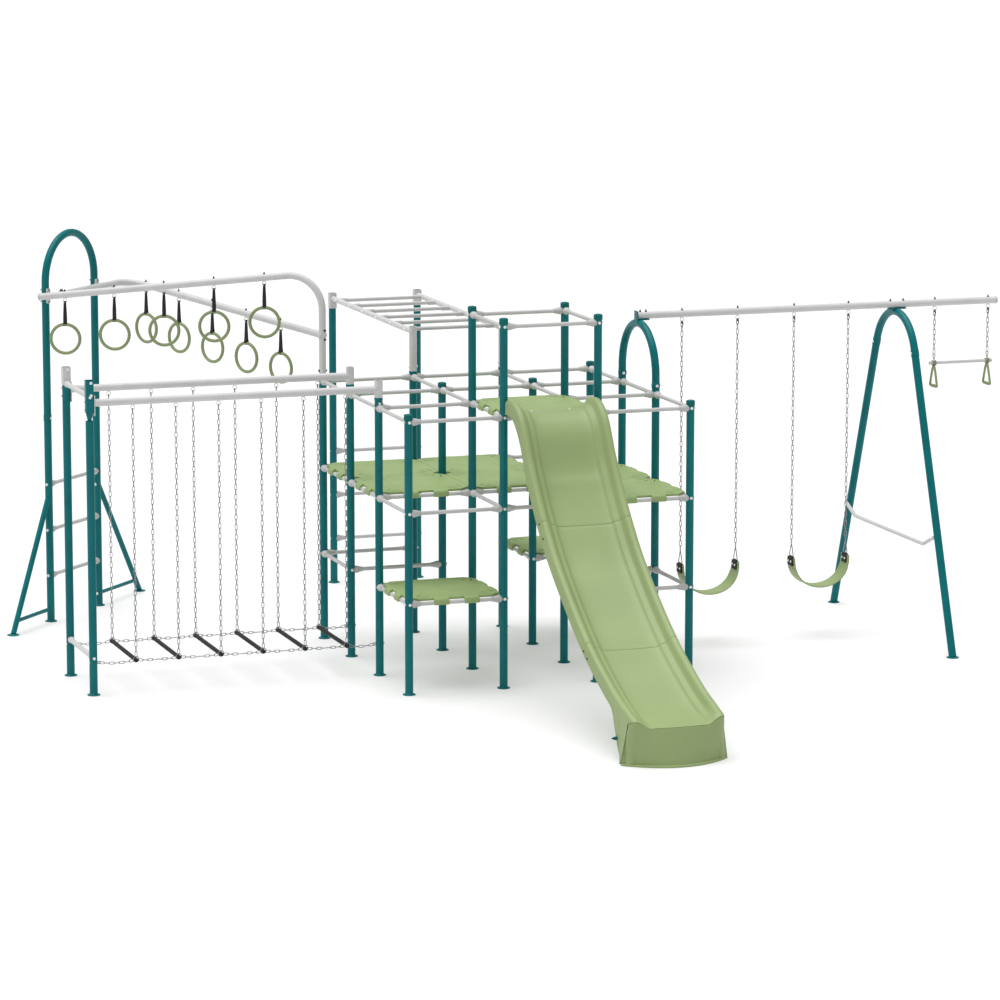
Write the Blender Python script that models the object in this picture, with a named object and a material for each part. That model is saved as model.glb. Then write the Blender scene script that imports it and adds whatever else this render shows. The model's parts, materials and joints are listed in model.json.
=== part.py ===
"""Backyard climbing set: cube climber, monkey bars, ring trek, chain step bridge, slide and swings.

Metres, +Z up. The set stands on a square grid of posts. Grid lines run along X (to the right) and
along Y (to the back); a place on the grid is given in cells and becomes metres through at().
The origin is the centre of the whole set's footprint, on the ground.
"""
import math

import bmesh
import bpy
from mathutils import Matrix, Vector

# ---------------------------------------------------------------- driving dimensions
CELL = 0.61                  # post spacing of the cube climber
GAP = 0.0003                 # clearance between touching pieces
POST_R = 0.025
RAIL_R = 0.0125              # deck rails and rungs
BEAM_R = 0.023               # swing beam, bridge beams
RING_RAIL_R = 0.023
MONKEY_RAIL_R = 0.018
BRACE_R = 0.018
PLATE_T = 0.004              # foot plate thickness
PLATE_R = 0.045
CAP_H = 0.012
COLLAR_R = 0.0315            # collar of a level's rails, slipped over a post
COLLAR_HALF_H = 0.021
HOLE_R = 0.0275
RAIL_INSET = 0.012           # a rail's end stops this far from its post's axis
DECK_T = 0.018
X_AXIS = Vector((1, 0, 0))
Y_AXIS = Vector((0, 1, 0))

# heights, in cells
LEVELS = (0.922, 1.842, 2.765, 3.680)    # rail centres of the four levels
LOW_TOP = 2.83
TALL_TOP = 3.75
BRIDGE_POST_TOP = 3.19
MONKEY_Z = 3.25
MONKEY_TOP = 3.31
BRIDGE_BEAM_Z = 2.960
STEP_Z = 0.33
SWING_BEAM_Z = 3.525
RING_UPRIGHT_TOP = 3.920
RING_CLAMP_Z = 3.560
RING_ARCH_TOP = 4.19
LADDER_FIRST = 0.51          # lowest rung of both ladders
BRIDGE_CROSS_Z = (0.38, 3.02)
BRACE_HEAD_Z = 1.36
BACK_RAIL_Z = 3.26           # where the back ring rail leaves its upright
BACK_RAIL_WAY = (-0.468, 1.0)
BACK_RAIL_RISE = 0.092       # rise of the back rail for each unit of its length in plan

# the far ends of the footprint, in cells: brace foot, swing beam, slide lip, brace foot
BEAM_END_X = 7.09
RING_LEGS = ((-2.554, 4.828), (-1.848, 5.538))
BRACE_FEET = ((-3.110, 4.210), (-1.217, 6.215))
SLIDE_TIP_Y = -3.83

# the grid's first post, in metres from the footprint's centre
GRID_X = -(BEAM_END_X * CELL + BRACE_FEET[0][0] * CELL - PLATE_R) / 2
GRID_Y = -(SLIDE_TIP_Y * CELL + BRACE_FEET[1][1] * CELL + PLATE_R) / 2

LOW_POSTS = ((0, 0), (3, 0), (0, 1), (0, 2), (1, 2), (2, 2), (0, 3), (1, 3), (2, 3), (3, 3))
TALL_POSTS = ((1, 0), (2, 0), (1, 1), (2, 1))
SWING_ARCH_POSTS = ((3, 1), (3, 2))
MONKEY_END_POSTS = ((1, 6), (2, 6))
BRIDGE_POSTS = ((-3, 1), (-3, 2))
UNCAPPED = ((0, 1), (0, 2), (0, 3), (1, 3), (2, 3))

# deck cells (lower left corner of the cell) by level
DECKS = {0: ((0, 0), (2, 2)), 1: ((0, 1), (0, 2), (1, 1), (1, 2), (2, 0), (2, 1)), 2: ((1, 0),)}

EXTRA_RAILS = {
    0: (((0, 2), (0, 3)), ((0, 2), (1, 2)), ((0, 3), (1, 3)),
        ((2, 0), (3, 0)), ((3, 0), (3, 1)), ((2, 1), (3, 1))),
    1: (((0, 0), (1, 0)), ((1, 0), (2, 0)), ((1, 0), (1, 1)), ((0, 0), (0, 1)),
        ((2, 3), (3, 3)), ((3, 2), (3, 3))),
}
LOW_RAIL_NAMES = ("level_1_rails_front_left", "level_1_rails_back_left",
                  "level_1_rails_front_right", "level_1_rails_back_right")

MONKEY_RUNGS = 6
MONKEY_FIRST_Y = 3.22
MONKEY_RUNG_STEP = 0.512

STEP_SPACING = 0.442
STEP_HOOKS = [-2.56 + STEP_SPACING * k for k in range(6)]
STEP_BAR_R = 0.013
STEP_SWAY_ROOM = 0.050       # slack left between the linking chains and the posts

SWING_HOOKS = ((3.478, 4.103), (4.743, 5.364))
TRAPEZE_HOOKS = (6.363, 6.984)
SWING_Y = 1.5
A_FRAME_X = 5.92
A_FRAME_FEET_Y = (-0.08, 3.10)
A_FRAME_RAKE = 19.5          # degrees from upright
CROSSBAR = ((2.67, 1.20), (2.42, 1.092), (0.60, 1.092), (0.35, 1.20))
HOOK_EYE = 0.020             # from a beam's underside down to the eye that a chain turns on
LUG_BELOW_EYE = 0.006
CHAIN_BELOW_EYE = 0.013
CHAIN_R = 0.006
CLAMP_Z = 0.79               # lower end of the clamps that hold a belt seat, in cells
CLAMP_H = 0.060
SEAT_LOW_Z = 0.535
SEAT_WIDTH = 0.140
SEAT_T = 0.008
TRIANGLE_H = 0.080
TRIANGLE_HALF = 0.035
TRAPEZE_BAR_Z = 2.875
TRAPEZE_BAR_R = 0.0105
HANDLE_H = 0.155
HANDLE_HALF = 0.055

RINGS_PER_RAIL = 5
RING_STEPS = 16
RING_MAJOR_R = 0.0950
RING_TUBE_R = 0.0106
RING_TWIST = (12, 5)         # degrees that the rings of each rail hang turned from its line
RING_OVERHANG = 0.030        # front rail beyond its clamp
RING_DROP = 0.290            # ring rail's centre to ring's centre
RING_SPACING = 0.5655
RING_FIRST = (0.645, 0.625)

SLIDE_X = 1.47               # centre line, in cells
SLIDE_HALF = 0.289           # half of the outside width, metres
SLIDE_WALL = 0.010
SLIDE_DEPTH = 0.074          # from the rims down to the bed, square to the slope
SLIDE_BED_HALF = 0.175
SLIDE_SEAMS = (-1.13, -2.42)
SLIDE_FOOT_Y = -3.27         # in front of this the base reaches the ground
SLIDE_FRONT_Y = -3.72        # front end of the rims
NOSE_Y = -3.40               # from here the base widens downwards and bows out to its front
NOSE_CORNERS = (-3.56, -3.69)            # y of the front's corners, at the ground and at the rims
NOSE_BOW = (SLIDE_TIP_Y + 3.56, -0.05)   # how far the middle stands in front of them
NOSE_FLARE = 0.028           # widening of each side at the ground, metres
RIM = ((-0.055, 2.945), (-0.28, 2.945), (-0.50, 2.800), (-0.74, 2.430), (-1.10, 1.985), (-1.55, 1.550),
       (-2.40, 0.970), (-3.15, 0.620), (-3.60, 0.480), (-3.72, 0.450))
SKIRT_DROP = ((-0.055, 0.140), (-0.28, 0.160), (-0.50, 0.210), (-0.74, 0.230), (-1.10, 0.215),
              (-1.55, 0.170), (-2.40, 0.155), (-3.15, 0.150), (-3.27, 0.160))


def at(i, j, k=0.0):
    """Grid place in cells to a point in metres."""
    return Vector((GRID_X + i * CELL, GRID_Y + j * CELL, k * CELL))


# ---------------------------------------------------------------- materials
def finish_of(name, colour, roughness, metallic=0.0):
    material = bpy.data.materials.new(name)
    material.use_nodes = True
    shader = material.node_tree.nodes["Principled BSDF"]
    shader.inputs["Base Color"].default_value = (*colour, 1.0)
    shader.inputs["Roughness"].default_value = roughness
    shader.inputs["Metallic"].default_value = metallic
    material.diffuse_color = (*colour, 1.0)
    return material


# ---------------------------------------------------------------- modelling helpers
def add_tube(bm, a, b, radius, radius_b=None, sides=10):
    """Closed cylinder, or cone frustum, from point a to point b."""
    axis = b - a
    turn = axis.to_track_quat("Z", "Y").to_matrix().to_4x4()
    place = Matrix.Translation((a + b) / 2) @ turn
    tip = radius if radius_b is None else radius_b
    bmesh.ops.create_cone(bm, cap_ends=True, segments=sides, radius1=radius, radius2=tip,
                          depth=axis.length, matrix=place)


def add_box(bm, centre, size, turn=0.0):
    """Closed box, turned about Z by an angle in radians."""
    place = Matrix.Translation(centre) @ Matrix.Rotation(turn, 4, "Z") @ Matrix.Diagonal((*size, 1.0))
    bmesh.ops.create_cube(bm, size=1.0, matrix=place)


def add_prism(bm, outline, bottom, top):
    """Closed slab from a flat outline of (x, y) points, counter-clockwise from above."""
    add_loft(bm, [[Vector((x, y, z)) for x, y in outline] for z in (bottom, top)])


def add_loft(bm, loops, cyclic=False):
    """Closed body through a row of equal closed loops of points."""
    rows = [[bm.verts.new(point) for point in loop] for loop in loops]
    count = len(rows[0])
    pairs = list(zip(rows, rows[1:]))
    made = []
    if cyclic:
        pairs.append((rows[-1], rows[0]))
    else:
        made += [bm.faces.new(list(reversed(rows[0]))), bm.faces.new(rows[-1])]
    for near, far in pairs:
        for k in range(count):
            after = (k + 1) % count
            made.append(bm.faces.new((near[k], near[after], far[after], far[k])))
    bmesh.ops.recalc_face_normals(bm, faces=made)


def add_lathe(bm, base, profile, sides=10):
    """Closed turned body about a vertical axis: profile of (radius, height) above base."""
    loops = []
    for radius, height in profile:
        centre = base + Vector((0, 0, height))
        loops.append(arc(centre, X_AXIS, Y_AXIS, radius, 0, 360 - 360 / sides, sides - 1))
    add_loft(bm, loops)


def add_sweep(bm, path, radius, normal, sides=8, cyclic=False):
    """Round tube along a path that lies in the plane of the given normal."""
    loops = []
    last = len(path) - 1
    for k, point in enumerate(path):
        before = path[k - 1] if k or cyclic else point
        after = path[(k + 1) % (last + 1)] if k < last or cyclic else point
        way = (after - before).normalized()
        loops.append(arc(point, normal, way.cross(normal), radius, 0, 360 - 360 / sides, sides - 1))
    add_loft(bm, loops, cyclic)


def arc(centre, u, v, radius, start, end, steps):
    """Points on an arc in the plane of unit vectors u and v, angles in degrees."""
    points = []
    for k in range(steps + 1):
        angle = math.radians(start + (end - start) * k / steps)
        points.append(centre + u * radius * math.cos(angle) + v * radius * math.sin(angle))
    return points


def rounded(corners, radius, steps=5):
    """A polyline whose inner corners are replaced with arcs of the given radius."""
    points = [corners[0]]
    for before, corner, after in zip(corners, corners[1:], corners[2:]):
        back = (before - corner).normalized()
        ahead = (after - corner).normalized()
        half = back.angle(ahead) / 2
        reach = radius / math.tan(half)
        centre = corner + (back + ahead).normalized() * radius / math.sin(half)
        first = corner + back * reach - centre
        last = corner + ahead * reach - centre
        points += [centre + first.slerp(last, k / steps).normalized() * radius for k in range(steps + 1)]
    points.append(corners[-1])
    return points


def smooth_line(knots, y):
    """Height at y of a smooth curve through (y, z) knots, by cubic pieces with averaged slopes."""
    slopes = []
    for k in range(len(knots)):
        before = knots[max(k - 1, 0)]
        after = knots[min(k + 1, len(knots) - 1)]
        slopes.append((after[1] - before[1]) / (after[0] - before[0]))
    k = 0
    while k < len(knots) - 2 and knots[k + 1][0] > y:
        k += 1
    (y0, z0), (y1, z1) = knots[k], knots[k + 1]
    span = y1 - y0
    t = (y - y0) / span
    rise = (2 * t ** 3 - 3 * t ** 2 + 1) * z0 + (3 * t ** 2 - 2 * t ** 3) * z1
    bend = (t ** 3 - 2 * t ** 2 + t) * slopes[k] + (t ** 3 - t ** 2) * slopes[k + 1]
    return rise + bend * span


def add_object(name, bm, origin):
    bmesh.ops.translate(bm, verts=bm.verts, vec=-origin)
    mesh = bpy.data.meshes.new(name)
    bm.to_mesh(mesh)
    bm.free()
    obj = bpy.data.objects.new(name, mesh)
    obj.location = origin
    bpy.context.scene.collection.objects.link(obj)
    return obj


def make_part(name, material, shapes, holes=None, origin=None, solver="EXACT"):
    """One named body: the union of the shapes, each a bmesh, less the holes. Its origin is given."""
    place = origin if origin is not None else Vector((0, 0, 0))
    obj = add_object(name, shapes[0], place)
    obj.data.materials.append(material)
    obj.data.shade_smooth()
    obj.data.set_sharp_from_angle(angle=math.radians(40))
    steps = [("UNION", shape) for shape in shapes[1:]]
    if holes is not None:
        steps.append(("DIFFERENCE", holes))
    for k, (operation, shape) in enumerate(steps):
        helper = add_object(f"{name}_helper_{k}", shape, place)
        helper.data.materials.append(material)
        helper.hide_render = True
        helper.display_type = "WIRE"
        modifier = obj.modifiers.new(f"join_{k}", "BOOLEAN")
        modifier.operation = operation
        modifier.solver = solver
        modifier.object = helper
    return obj


# ---------------------------------------------------------------- cube climber
def lattice_edges(level):
    """Rails of one level as (post, post) pairs between neighbouring grid places."""
    edges = set()
    if level == 2:
        edges |= {((i, j), (i + 1, j)) for i in range(3) for j in range(4)}
        edges |= {((i, j), (i, j + 1)) for i in range(4) for j in range(3)}
    for i, j in DECKS.get(level, ()):
        edges |= {((i, j), (i + 1, j)), ((i, j + 1), (i + 1, j + 1))}
        edges |= {((i, j), (i, j + 1)), ((i + 1, j), (i + 1, j + 1))}
    edges |= set(EXTRA_RAILS.get(level, ()))
    return sorted(edges)


def connected(edges):
    """Split the edges into groups that hang together."""
    groups = []
    for edge in edges:
        touching = [group for group in groups if any(set(edge) & set(other) for other in group)]
        merged = [edge]
        for group in touching:
            merged += group
            groups.remove(group)
        groups.append(merged)
    return sorted(sorted(group) for group in groups)


def build_level(name, material, level, edges):
    """Rails and the collars that slip over the posts, less the posts' holes."""
    height = LEVELS[level]
    rails = (bmesh.new(), bmesh.new())
    for a, b in edges:
        start, stop = at(*a, height), at(*b, height)
        reach = (stop - start).normalized() * RAIL_INSET
        add_tube(rails[int(a[0] == b[0])], start + reach, stop - reach, RAIL_R, sides=6)
    collars = bmesh.new()
    holes = bmesh.new()
    up = Vector((0, 0, 1))
    for post in sorted({post for edge in edges for post in edge}):
        middle = at(*post, height)
        add_tube(collars, middle - up * COLLAR_HALF_H, middle + up * COLLAR_HALF_H, COLLAR_R, sides=8)
        add_tube(holes, middle - up * COLLAR_HALF_H * 2, middle + up * COLLAR_HALF_H * 2, HOLE_R, sides=8)
    shapes = [collars] + [bm for bm in rails if bm.verts]
    make_part(name, material, shapes, holes)


def build_levels(steel):
    names = {0: LOW_RAIL_NAMES, 1: ("level_2_rails",), 2: ("level_3_rails",)}
    for level in (0, 1, 2):
        for name, edges in zip(names[level], connected(lattice_edges(level))):
            build_level(name, steel, level, edges)


def post_profile(top, capped=True):
    """Foot plate, tube and cap of a post, as a turned outline."""
    profile = [(PLATE_R, 0.0), (PLATE_R, PLATE_T), (POST_R, PLATE_T), (POST_R, top)]
    if capped:
        profile += [(POST_R * 0.90, top + CAP_H * 0.6), (POST_R * 0.45, top + CAP_H)]
    return profile


def build_posts(teal):
    for i, j in LOW_POSTS:
        bm = bmesh.new()
        add_lathe(bm, at(i, j), post_profile(LOW_TOP * CELL, (i, j) not in UNCAPPED))
        make_part(f"post_{i}_{j}", teal, [bm], origin=at(i, j))


def build_tower(teal):
    posts = bmesh.new()
    for i, j in TALL_POSTS:
        add_lathe(posts, at(i, j), post_profile(TALL_TOP * CELL))
    shapes = [posts]
    for pairs in ((((1, 0), (2, 0)), ((1, 1), (2, 1))), (((1, 0), (1, 1)), ((2, 0), (2, 1)))):
        rails = bmesh.new()
        for a, b in pairs:
            start, stop = at(*a, LEVELS[3]), at(*b, LEVELS[3])
            reach = (stop - start).normalized() * RAIL_INSET
            add_tube(rails, start + reach, stop - reach, RAIL_R, sides=8)
        shapes.append(rails)
    make_part("tower_frame", teal, shapes)


def deck_outline(size):
    """Square panel outline whose corners are cut to clear the posts and their collars."""
    cut = 0.060
    near, far = cut, size - cut
    return ((near, 0), (far, 0), (size, near), (size, far), (far, size), (near, size), (0, far), (0, near))


def build_deck(name, green, level, cells):
    """Panels that lie over the rails; clips join neighbouring panels into one deck."""
    seam = 0.001
    slab_bottom = LEVELS[level] * CELL + RAIL_R + GAP
    panels = bmesh.new()
    for i, j in cells:
        corner = at(i, j)
        points = [(corner.x + seam + x, corner.y + seam + y) for x, y in deck_outline(CELL - 2 * seam)]
        add_prism(panels, points, slab_bottom, slab_bottom + DECK_T)
    clips = bmesh.new()
    middle_z = slab_bottom + DECK_T / 2
    for i, j in cells:
        if (i + 1, j) in cells:
            spot = at(i + 1, j + 0.5)
            add_box(clips, Vector((spot.x, spot.y, middle_z)), (0.014, 0.040, DECK_T * 0.5))
        if (i, j + 1) in cells:
            spot = at(i + 0.5, j + 1)
            add_box(clips, Vector((spot.x, spot.y, middle_z)), (0.040, 0.014, DECK_T * 0.5))
    shapes = [panels, clips] if clips.verts else [panels]
    make_part(name, green, shapes)


def build_decks(green):
    build_deck("low_deck_front", green, 0, DECKS[0][:1])
    build_deck("low_deck_back", green, 0, DECKS[0][1:])
    build_deck("main_deck", green, 1, DECKS[1])
    build_deck("top_deck", green, 2, DECKS[2])


# ---------------------------------------------------------------- monkey bars
def build_monkey_ladder(white):
    """Two rails on short uprights over the climber, and the rungs between them."""
    uprights = bmesh.new()
    rails = bmesh.new()
    for i in (1, 2):
        foot = at(i, 3, LOW_TOP) + Vector((0, 0, GAP))
        add_tube(uprights, foot, at(i, 3, MONKEY_TOP), POST_R)
        stop = at(i, 6, MONKEY_Z) - Vector((0, POST_R + GAP, 0))
        add_tube(rails, at(i, 3, MONKEY_Z) + Vector((0, 0.010, 0)), stop, MONKEY_RAIL_R)
    rungs = bmesh.new()
    reach = Vector((0.008, 0, 0))
    for k in range(MONKEY_RUNGS):
        y = MONKEY_FIRST_Y + MONKEY_RUNG_STEP * k
        add_tube(rungs, at(1, y, MONKEY_Z) + reach, at(2, y, MONKEY_Z) - reach, RAIL_R, sides=6)
    make_part("monkey_ladder", white, [uprights, rails, rungs])


def build_monkey_end(teal):
    posts = bmesh.new()
    rungs = bmesh.new()
    for i, j in MONKEY_END_POSTS:
        add_lathe(posts, at(i, j), post_profile(MONKEY_TOP * CELL, capped=False))
    reach = Vector((RAIL_INSET, 0, 0))
    for k in range(3):
        height = LADDER_FIRST + 0.5 * k
        add_tube(rungs, at(1, 6, height) + reach, at(2, 6, height) - reach, RAIL_R, sides=8)
    make_part("monkey_end_frame", teal, [posts, rungs])


# ---------------------------------------------------------------- chain step bridge
def add_hook(bm, point, radius, heading):
    """Eye bolt: a square shank through a tube, with its nut on top and its eye below."""
    high = point.z + radius + 0.014
    low = point.z - radius - HOOK_EYE - LUG_BELOW_EYE
    add_box(bm, Vector((point.x, point.y, (high + low) / 2)), (0.010, 0.010, high - low), heading)


def build_bridge_frame(white):
    """Two end posts, two cross tubes and the two beams that the chains hang from."""
    posts = bmesh.new()
    beams = bmesh.new()
    hooks = bmesh.new()
    cross = bmesh.new()
    saddles = bmesh.new()
    for i, j in BRIDGE_POSTS:
        add_lathe(posts, at(i, j), post_profile(BRIDGE_POST_TOP * CELL))
        add_tube(beams, at(i, j, BRIDGE_BEAM_Z) + Vector((0.012, 0, 0)), at(0.055, j, BRIDGE_BEAM_Z), BEAM_R)
        low = LOW_TOP * CELL + GAP
        high = BRIDGE_BEAM_Z * CELL
        place = at(0, j)
        add_box(saddles, Vector((place.x, place.y, (low + high) / 2)), (0.050, 0.034, high - low))
    for x in STEP_HOOKS:
        for j in (1, 2):
            add_hook(hooks, at(x, j, BRIDGE_BEAM_Z), BEAM_R, 0.0)
    reach = Vector((0, 0.012, 0))
    for height in BRIDGE_CROSS_Z:
        add_tube(cross, at(-3, 1, height) + reach, at(-3, 2, height) - reach, RAIL_R * 1.3, sides=8)
    make_part("bridge_frame", white, [posts, beams, hooks, saddles, cross])


def build_steps(dark):
    """Foot bars, each on its two chains, with the chains that link them at foot height."""
    pivot_z = BRIDGE_BEAM_Z * CELL - BEAM_R - HOOK_EYE
    bar_z = STEP_Z * CELL
    spacing = STEP_SPACING * CELL
    last = len(STEP_HOOKS) - 1
    for k, x in enumerate(STEP_HOOKS):
        origin = at(x, 1.5)
        origin.z = pivot_z
        bar = bmesh.new()
        overhang = Vector((0, 0.022, 0))
        height = Vector((0, 0, bar_z))
        add_tube(bar, at(x, 1) - overhang + height, at(x, 2) + overhang + height, STEP_BAR_R, sides=6)
        reach_left = spacing / 2 - GAP if k else (x + 3) * CELL - POST_R - STEP_SWAY_ROOM
        reach_right = spacing / 2 - GAP if k < last else -x * CELL - POST_R - STEP_SWAY_ROOM
        hanging = bmesh.new()
        linking = bmesh.new()
        for j in (1, 2):
            spot = at(x, j)
            top = spot + Vector((0, 0, pivot_z - CHAIN_BELOW_EYE))
            add_tube(hanging, top, spot + height - Vector((0, 0, 0.004)), CHAIN_R, sides=6)
            left = spot + height - Vector((reach_left, 0, 0))
            add_tube(linking, left, spot + height + Vector((reach_right, 0, 0)), CHAIN_R * 0.8, sides=6)
        make_part(f"chain_step_{k + 1}", dark, [bar, hanging, linking], origin=origin)


# ---------------------------------------------------------------- ring trek
def arch_axes():
    """Centre of the ring arch in plan, unit vectors along it and to its front, half its width."""
    left, right = (at(*leg) for leg in RING_LEGS)
    along = (right - left).normalized()
    front = Vector((along.y, -along.x, 0))
    return (left + right) / 2, along, front, (right - left).length / 2


def front_rail_line():
    """Start over the upright's axis and end beside the arch's left leg."""
    start = at(0, 3, RING_UPRIGHT_TOP)
    leg = at(*RING_LEGS[0], RING_CLAMP_Z)
    way = (leg - start).normalized()
    beside = Vector((way.y, -way.x, 0)).normalized()
    if beside.y > 0:
        beside = -beside
    stop = leg + beside * (POST_R + RING_RAIL_R + 2 * GAP)
    return start, stop


def back_rail_corners():
    """Upright, the corner beyond the right leg, and the end near the left leg."""
    centre, along, front, half = arch_axes()
    beside = centre + front * (POST_R + RING_RAIL_R + 2 * GAP)
    upright = at(0, 3)
    way = Vector((BACK_RAIL_WAY[0], BACK_RAIL_WAY[1], 0)).normalized()
    # distance along the way at which it meets the line beside the arch
    to_line = (beside - upright).dot(front) / way.dot(front)
    corner = upright + way * to_line
    corner.z = (BACK_RAIL_Z + BACK_RAIL_RISE * to_line / CELL) * CELL
    start = upright + way * (POST_R + RING_RAIL_R * 0.2)
    start.z = BACK_RAIL_Z * CELL
    stop = beside - along * (half - 0.078)
    stop.z = corner.z
    return start, corner, stop


def ring_spots():
    """Ten hanging places: (rail's number, point on the rail's centre line, heading in plan)."""
    spots = []
    back_start, corner, _ = back_rail_corners()
    lines = (front_rail_line(), (back_start, corner))
    for rail, (a, b) in enumerate(lines):
        way = (b - a).normalized()
        for k in range(RINGS_PER_RAIL):
            point = a + way * (RING_FIRST[rail] + RING_SPACING * k) * CELL
            spots.append((rail, point, math.atan2(way.y, way.x)))
    return spots


def build_ring_rails(white):
    start, stop = front_rail_line()
    overhang = (stop - start).normalized() * RING_OVERHANG
    foot = at(0, 3, LOW_TOP) + Vector((0, 0, GAP))
    normal = (stop - start).cross(Vector((0, 0, 1))).normalized()
    tubes = [bmesh.new(), bmesh.new()]
    path = rounded([foot, start, stop + overhang], 0.35 * CELL, steps=6)
    add_sweep(tubes[0], path, RING_RAIL_R, normal, sides=8)
    corners = back_rail_corners()
    normal = (corners[1] - corners[0]).cross(corners[2] - corners[1]).normalized()
    add_sweep(tubes[1], rounded(corners, 0.20 * CELL, steps=6), RING_RAIL_R, normal, sides=8)
    hooks = [bmesh.new(), bmesh.new()]
    for rail, point, heading in ring_spots():
        add_hook(hooks[rail], point, RING_RAIL_R, heading)
    make_part("ring_rail_front", white, [tubes[0], hooks[0]])
    make_part("ring_rail_back", white, [tubes[1], hooks[1]])


def build_ring_arch(teal):
    """Hoop on two legs, with rungs, raking braces and low ties."""
    centre, along, front, half = arch_axes()
    up = Vector((0, 0, 1))
    spring = RING_ARCH_TOP * CELL - half
    path = [centre - along * half + up * 0.002]
    path += arc(centre + up * spring, -along, up, half, 0, 180, 10)
    path.append(centre + along * half + up * 0.002)
    hoop = bmesh.new()
    add_sweep(hoop, path, POST_R, front, sides=8)
    plates = bmesh.new()
    rungs = bmesh.new()
    braces = bmesh.new()
    ties = bmesh.new()
    for spot in RING_LEGS + BRACE_FEET:
        add_tube(plates, at(*spot) - up * 0.012, at(*spot) + up * PLATE_T, PLATE_R, sides=12)
    for k in range(3):
        height = LADDER_FIRST + 0.5 * k
        start, stop = at(*RING_LEGS[0], height), at(*RING_LEGS[1], height)
        reach = along * RAIL_INSET
        add_tube(rungs, start + reach, stop - reach, RAIL_R, sides=6)
    for leg, foot in zip(RING_LEGS, BRACE_FEET):
        base = at(*leg)
        toe = at(*foot) + up * 0.001
        head = base + up * BRACE_HEAD_Z * CELL
        add_tube(braces, toe, head, BRACE_R, sides=8)
        tie_z = 0.14 * CELL
        on_brace = toe.lerp(head, (tie_z - toe.z) / (head.z - toe.z))
        add_tube(ties, base + up * tie_z, on_brace, RAIL_R, sides=6)
    cut = bmesh.new()
    add_box(cut, centre + Vector((0, 0, -0.10)), (3.0, 3.0, 0.20))
    make_part("ring_arch", teal, [hoop, rungs, braces, ties, plates], cut, solver="MANIFOLD")


def build_rings(green):
    """Hand rings on their webbing straps, hanging straight down."""
    up = Vector((0, 0, 1))
    for k, (rail, point, heading) in enumerate(ring_spots()):
        heading += math.radians(RING_TWIST[rail])
        along = Vector((math.cos(heading), math.sin(heading), 0))
        facing = Vector((along.y, -along.x, 0))
        pivot = point - up * (RING_RAIL_R + HOOK_EYE)
        centre = point - up * RING_DROP
        ring = bmesh.new()
        circle = arc(centre, along, up, RING_MAJOR_R, 0, 360 - 360 / RING_STEPS, RING_STEPS - 1)
        add_sweep(ring, circle, RING_TUBE_R, facing, sides=5, cyclic=True)
        strap = bmesh.new()
        high = pivot.z - CHAIN_BELOW_EYE
        low = centre.z + RING_MAJOR_R - RING_TUBE_R - 0.004
        add_box(strap, Vector((point.x, point.y, (high + low) / 2)), (0.024, 0.010, high - low), heading)
        make_part(f"hand_ring_{k + 1}", green, [ring, strap], origin=pivot)


# ---------------------------------------------------------------- slide
def slide_point(x, y, z=0.0):
    """x in metres from the slide's centre line, y and z in cells."""
    return at(SLIDE_X, y, z) + Vector((x, 0, 0))


def nose_point(x, y, z):
    """Place of a cross-section's point, carried forward and outward where the base bows."""
    reach = min(max((NOSE_Y - y) / (NOSE_Y - SLIDE_FRONT_Y), 0.0), 1.0)
    height = min(z / (RIM[-1][1] * CELL), 1.0)
    bow = 1 - (x / SLIDE_HALF) ** 2
    low, high = (corner + bulge * bow for corner, bulge in zip(NOSE_CORNERS, NOSE_BOW))
    front = low + (high - low) * height
    wide = 1 + NOSE_FLARE / SLIDE_HALF * reach * (1 - height)
    along = NOSE_Y + reach * (front - NOSE_Y) if reach else y
    return slide_point(x * wide, along) + Vector((0, 0, z))


def slide_loop(y, open_below=True):
    """Closed cross-section of the slide at y: rims, bed, skirts and the hollow underneath."""
    rim = smooth_line(RIM, y) * CELL
    slope = (smooth_line(RIM, y + 0.02) - smooth_line(RIM, y - 0.02)) / 0.04
    stretch = math.sqrt(1 + slope * slope)
    ending = min(max((y - SLIDE_FRONT_Y) / 0.30, 0.0), 1.0)
    depth = SLIDE_DEPTH * stretch * (0.62 + 0.38 * math.sqrt(ending))
    bed = rim - depth
    skirt = max(rim - smooth_line(SKIRT_DROP, y) * CELL, 0.0) if y > SLIDE_FOOT_Y else 0.0
    under = bed - 0.012 * stretch if open_below else skirt + 0.002
    half, floor = SLIDE_HALF, SLIDE_BED_HALF
    inner = half - SLIDE_WALL
    right = [(floor, bed), (floor + 0.045, bed + depth * 0.72), (half - 0.034, rim), (half - 0.010, rim),
             (half, rim - 0.012), (half, skirt), (inner, skirt), (inner, under - 0.001), (floor, under)]
    left = [(-x, z) for x, z in reversed(right)]
    return [nose_point(x, y, z) for x, z in [(0, bed), *right, (0, under), *left]]


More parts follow.
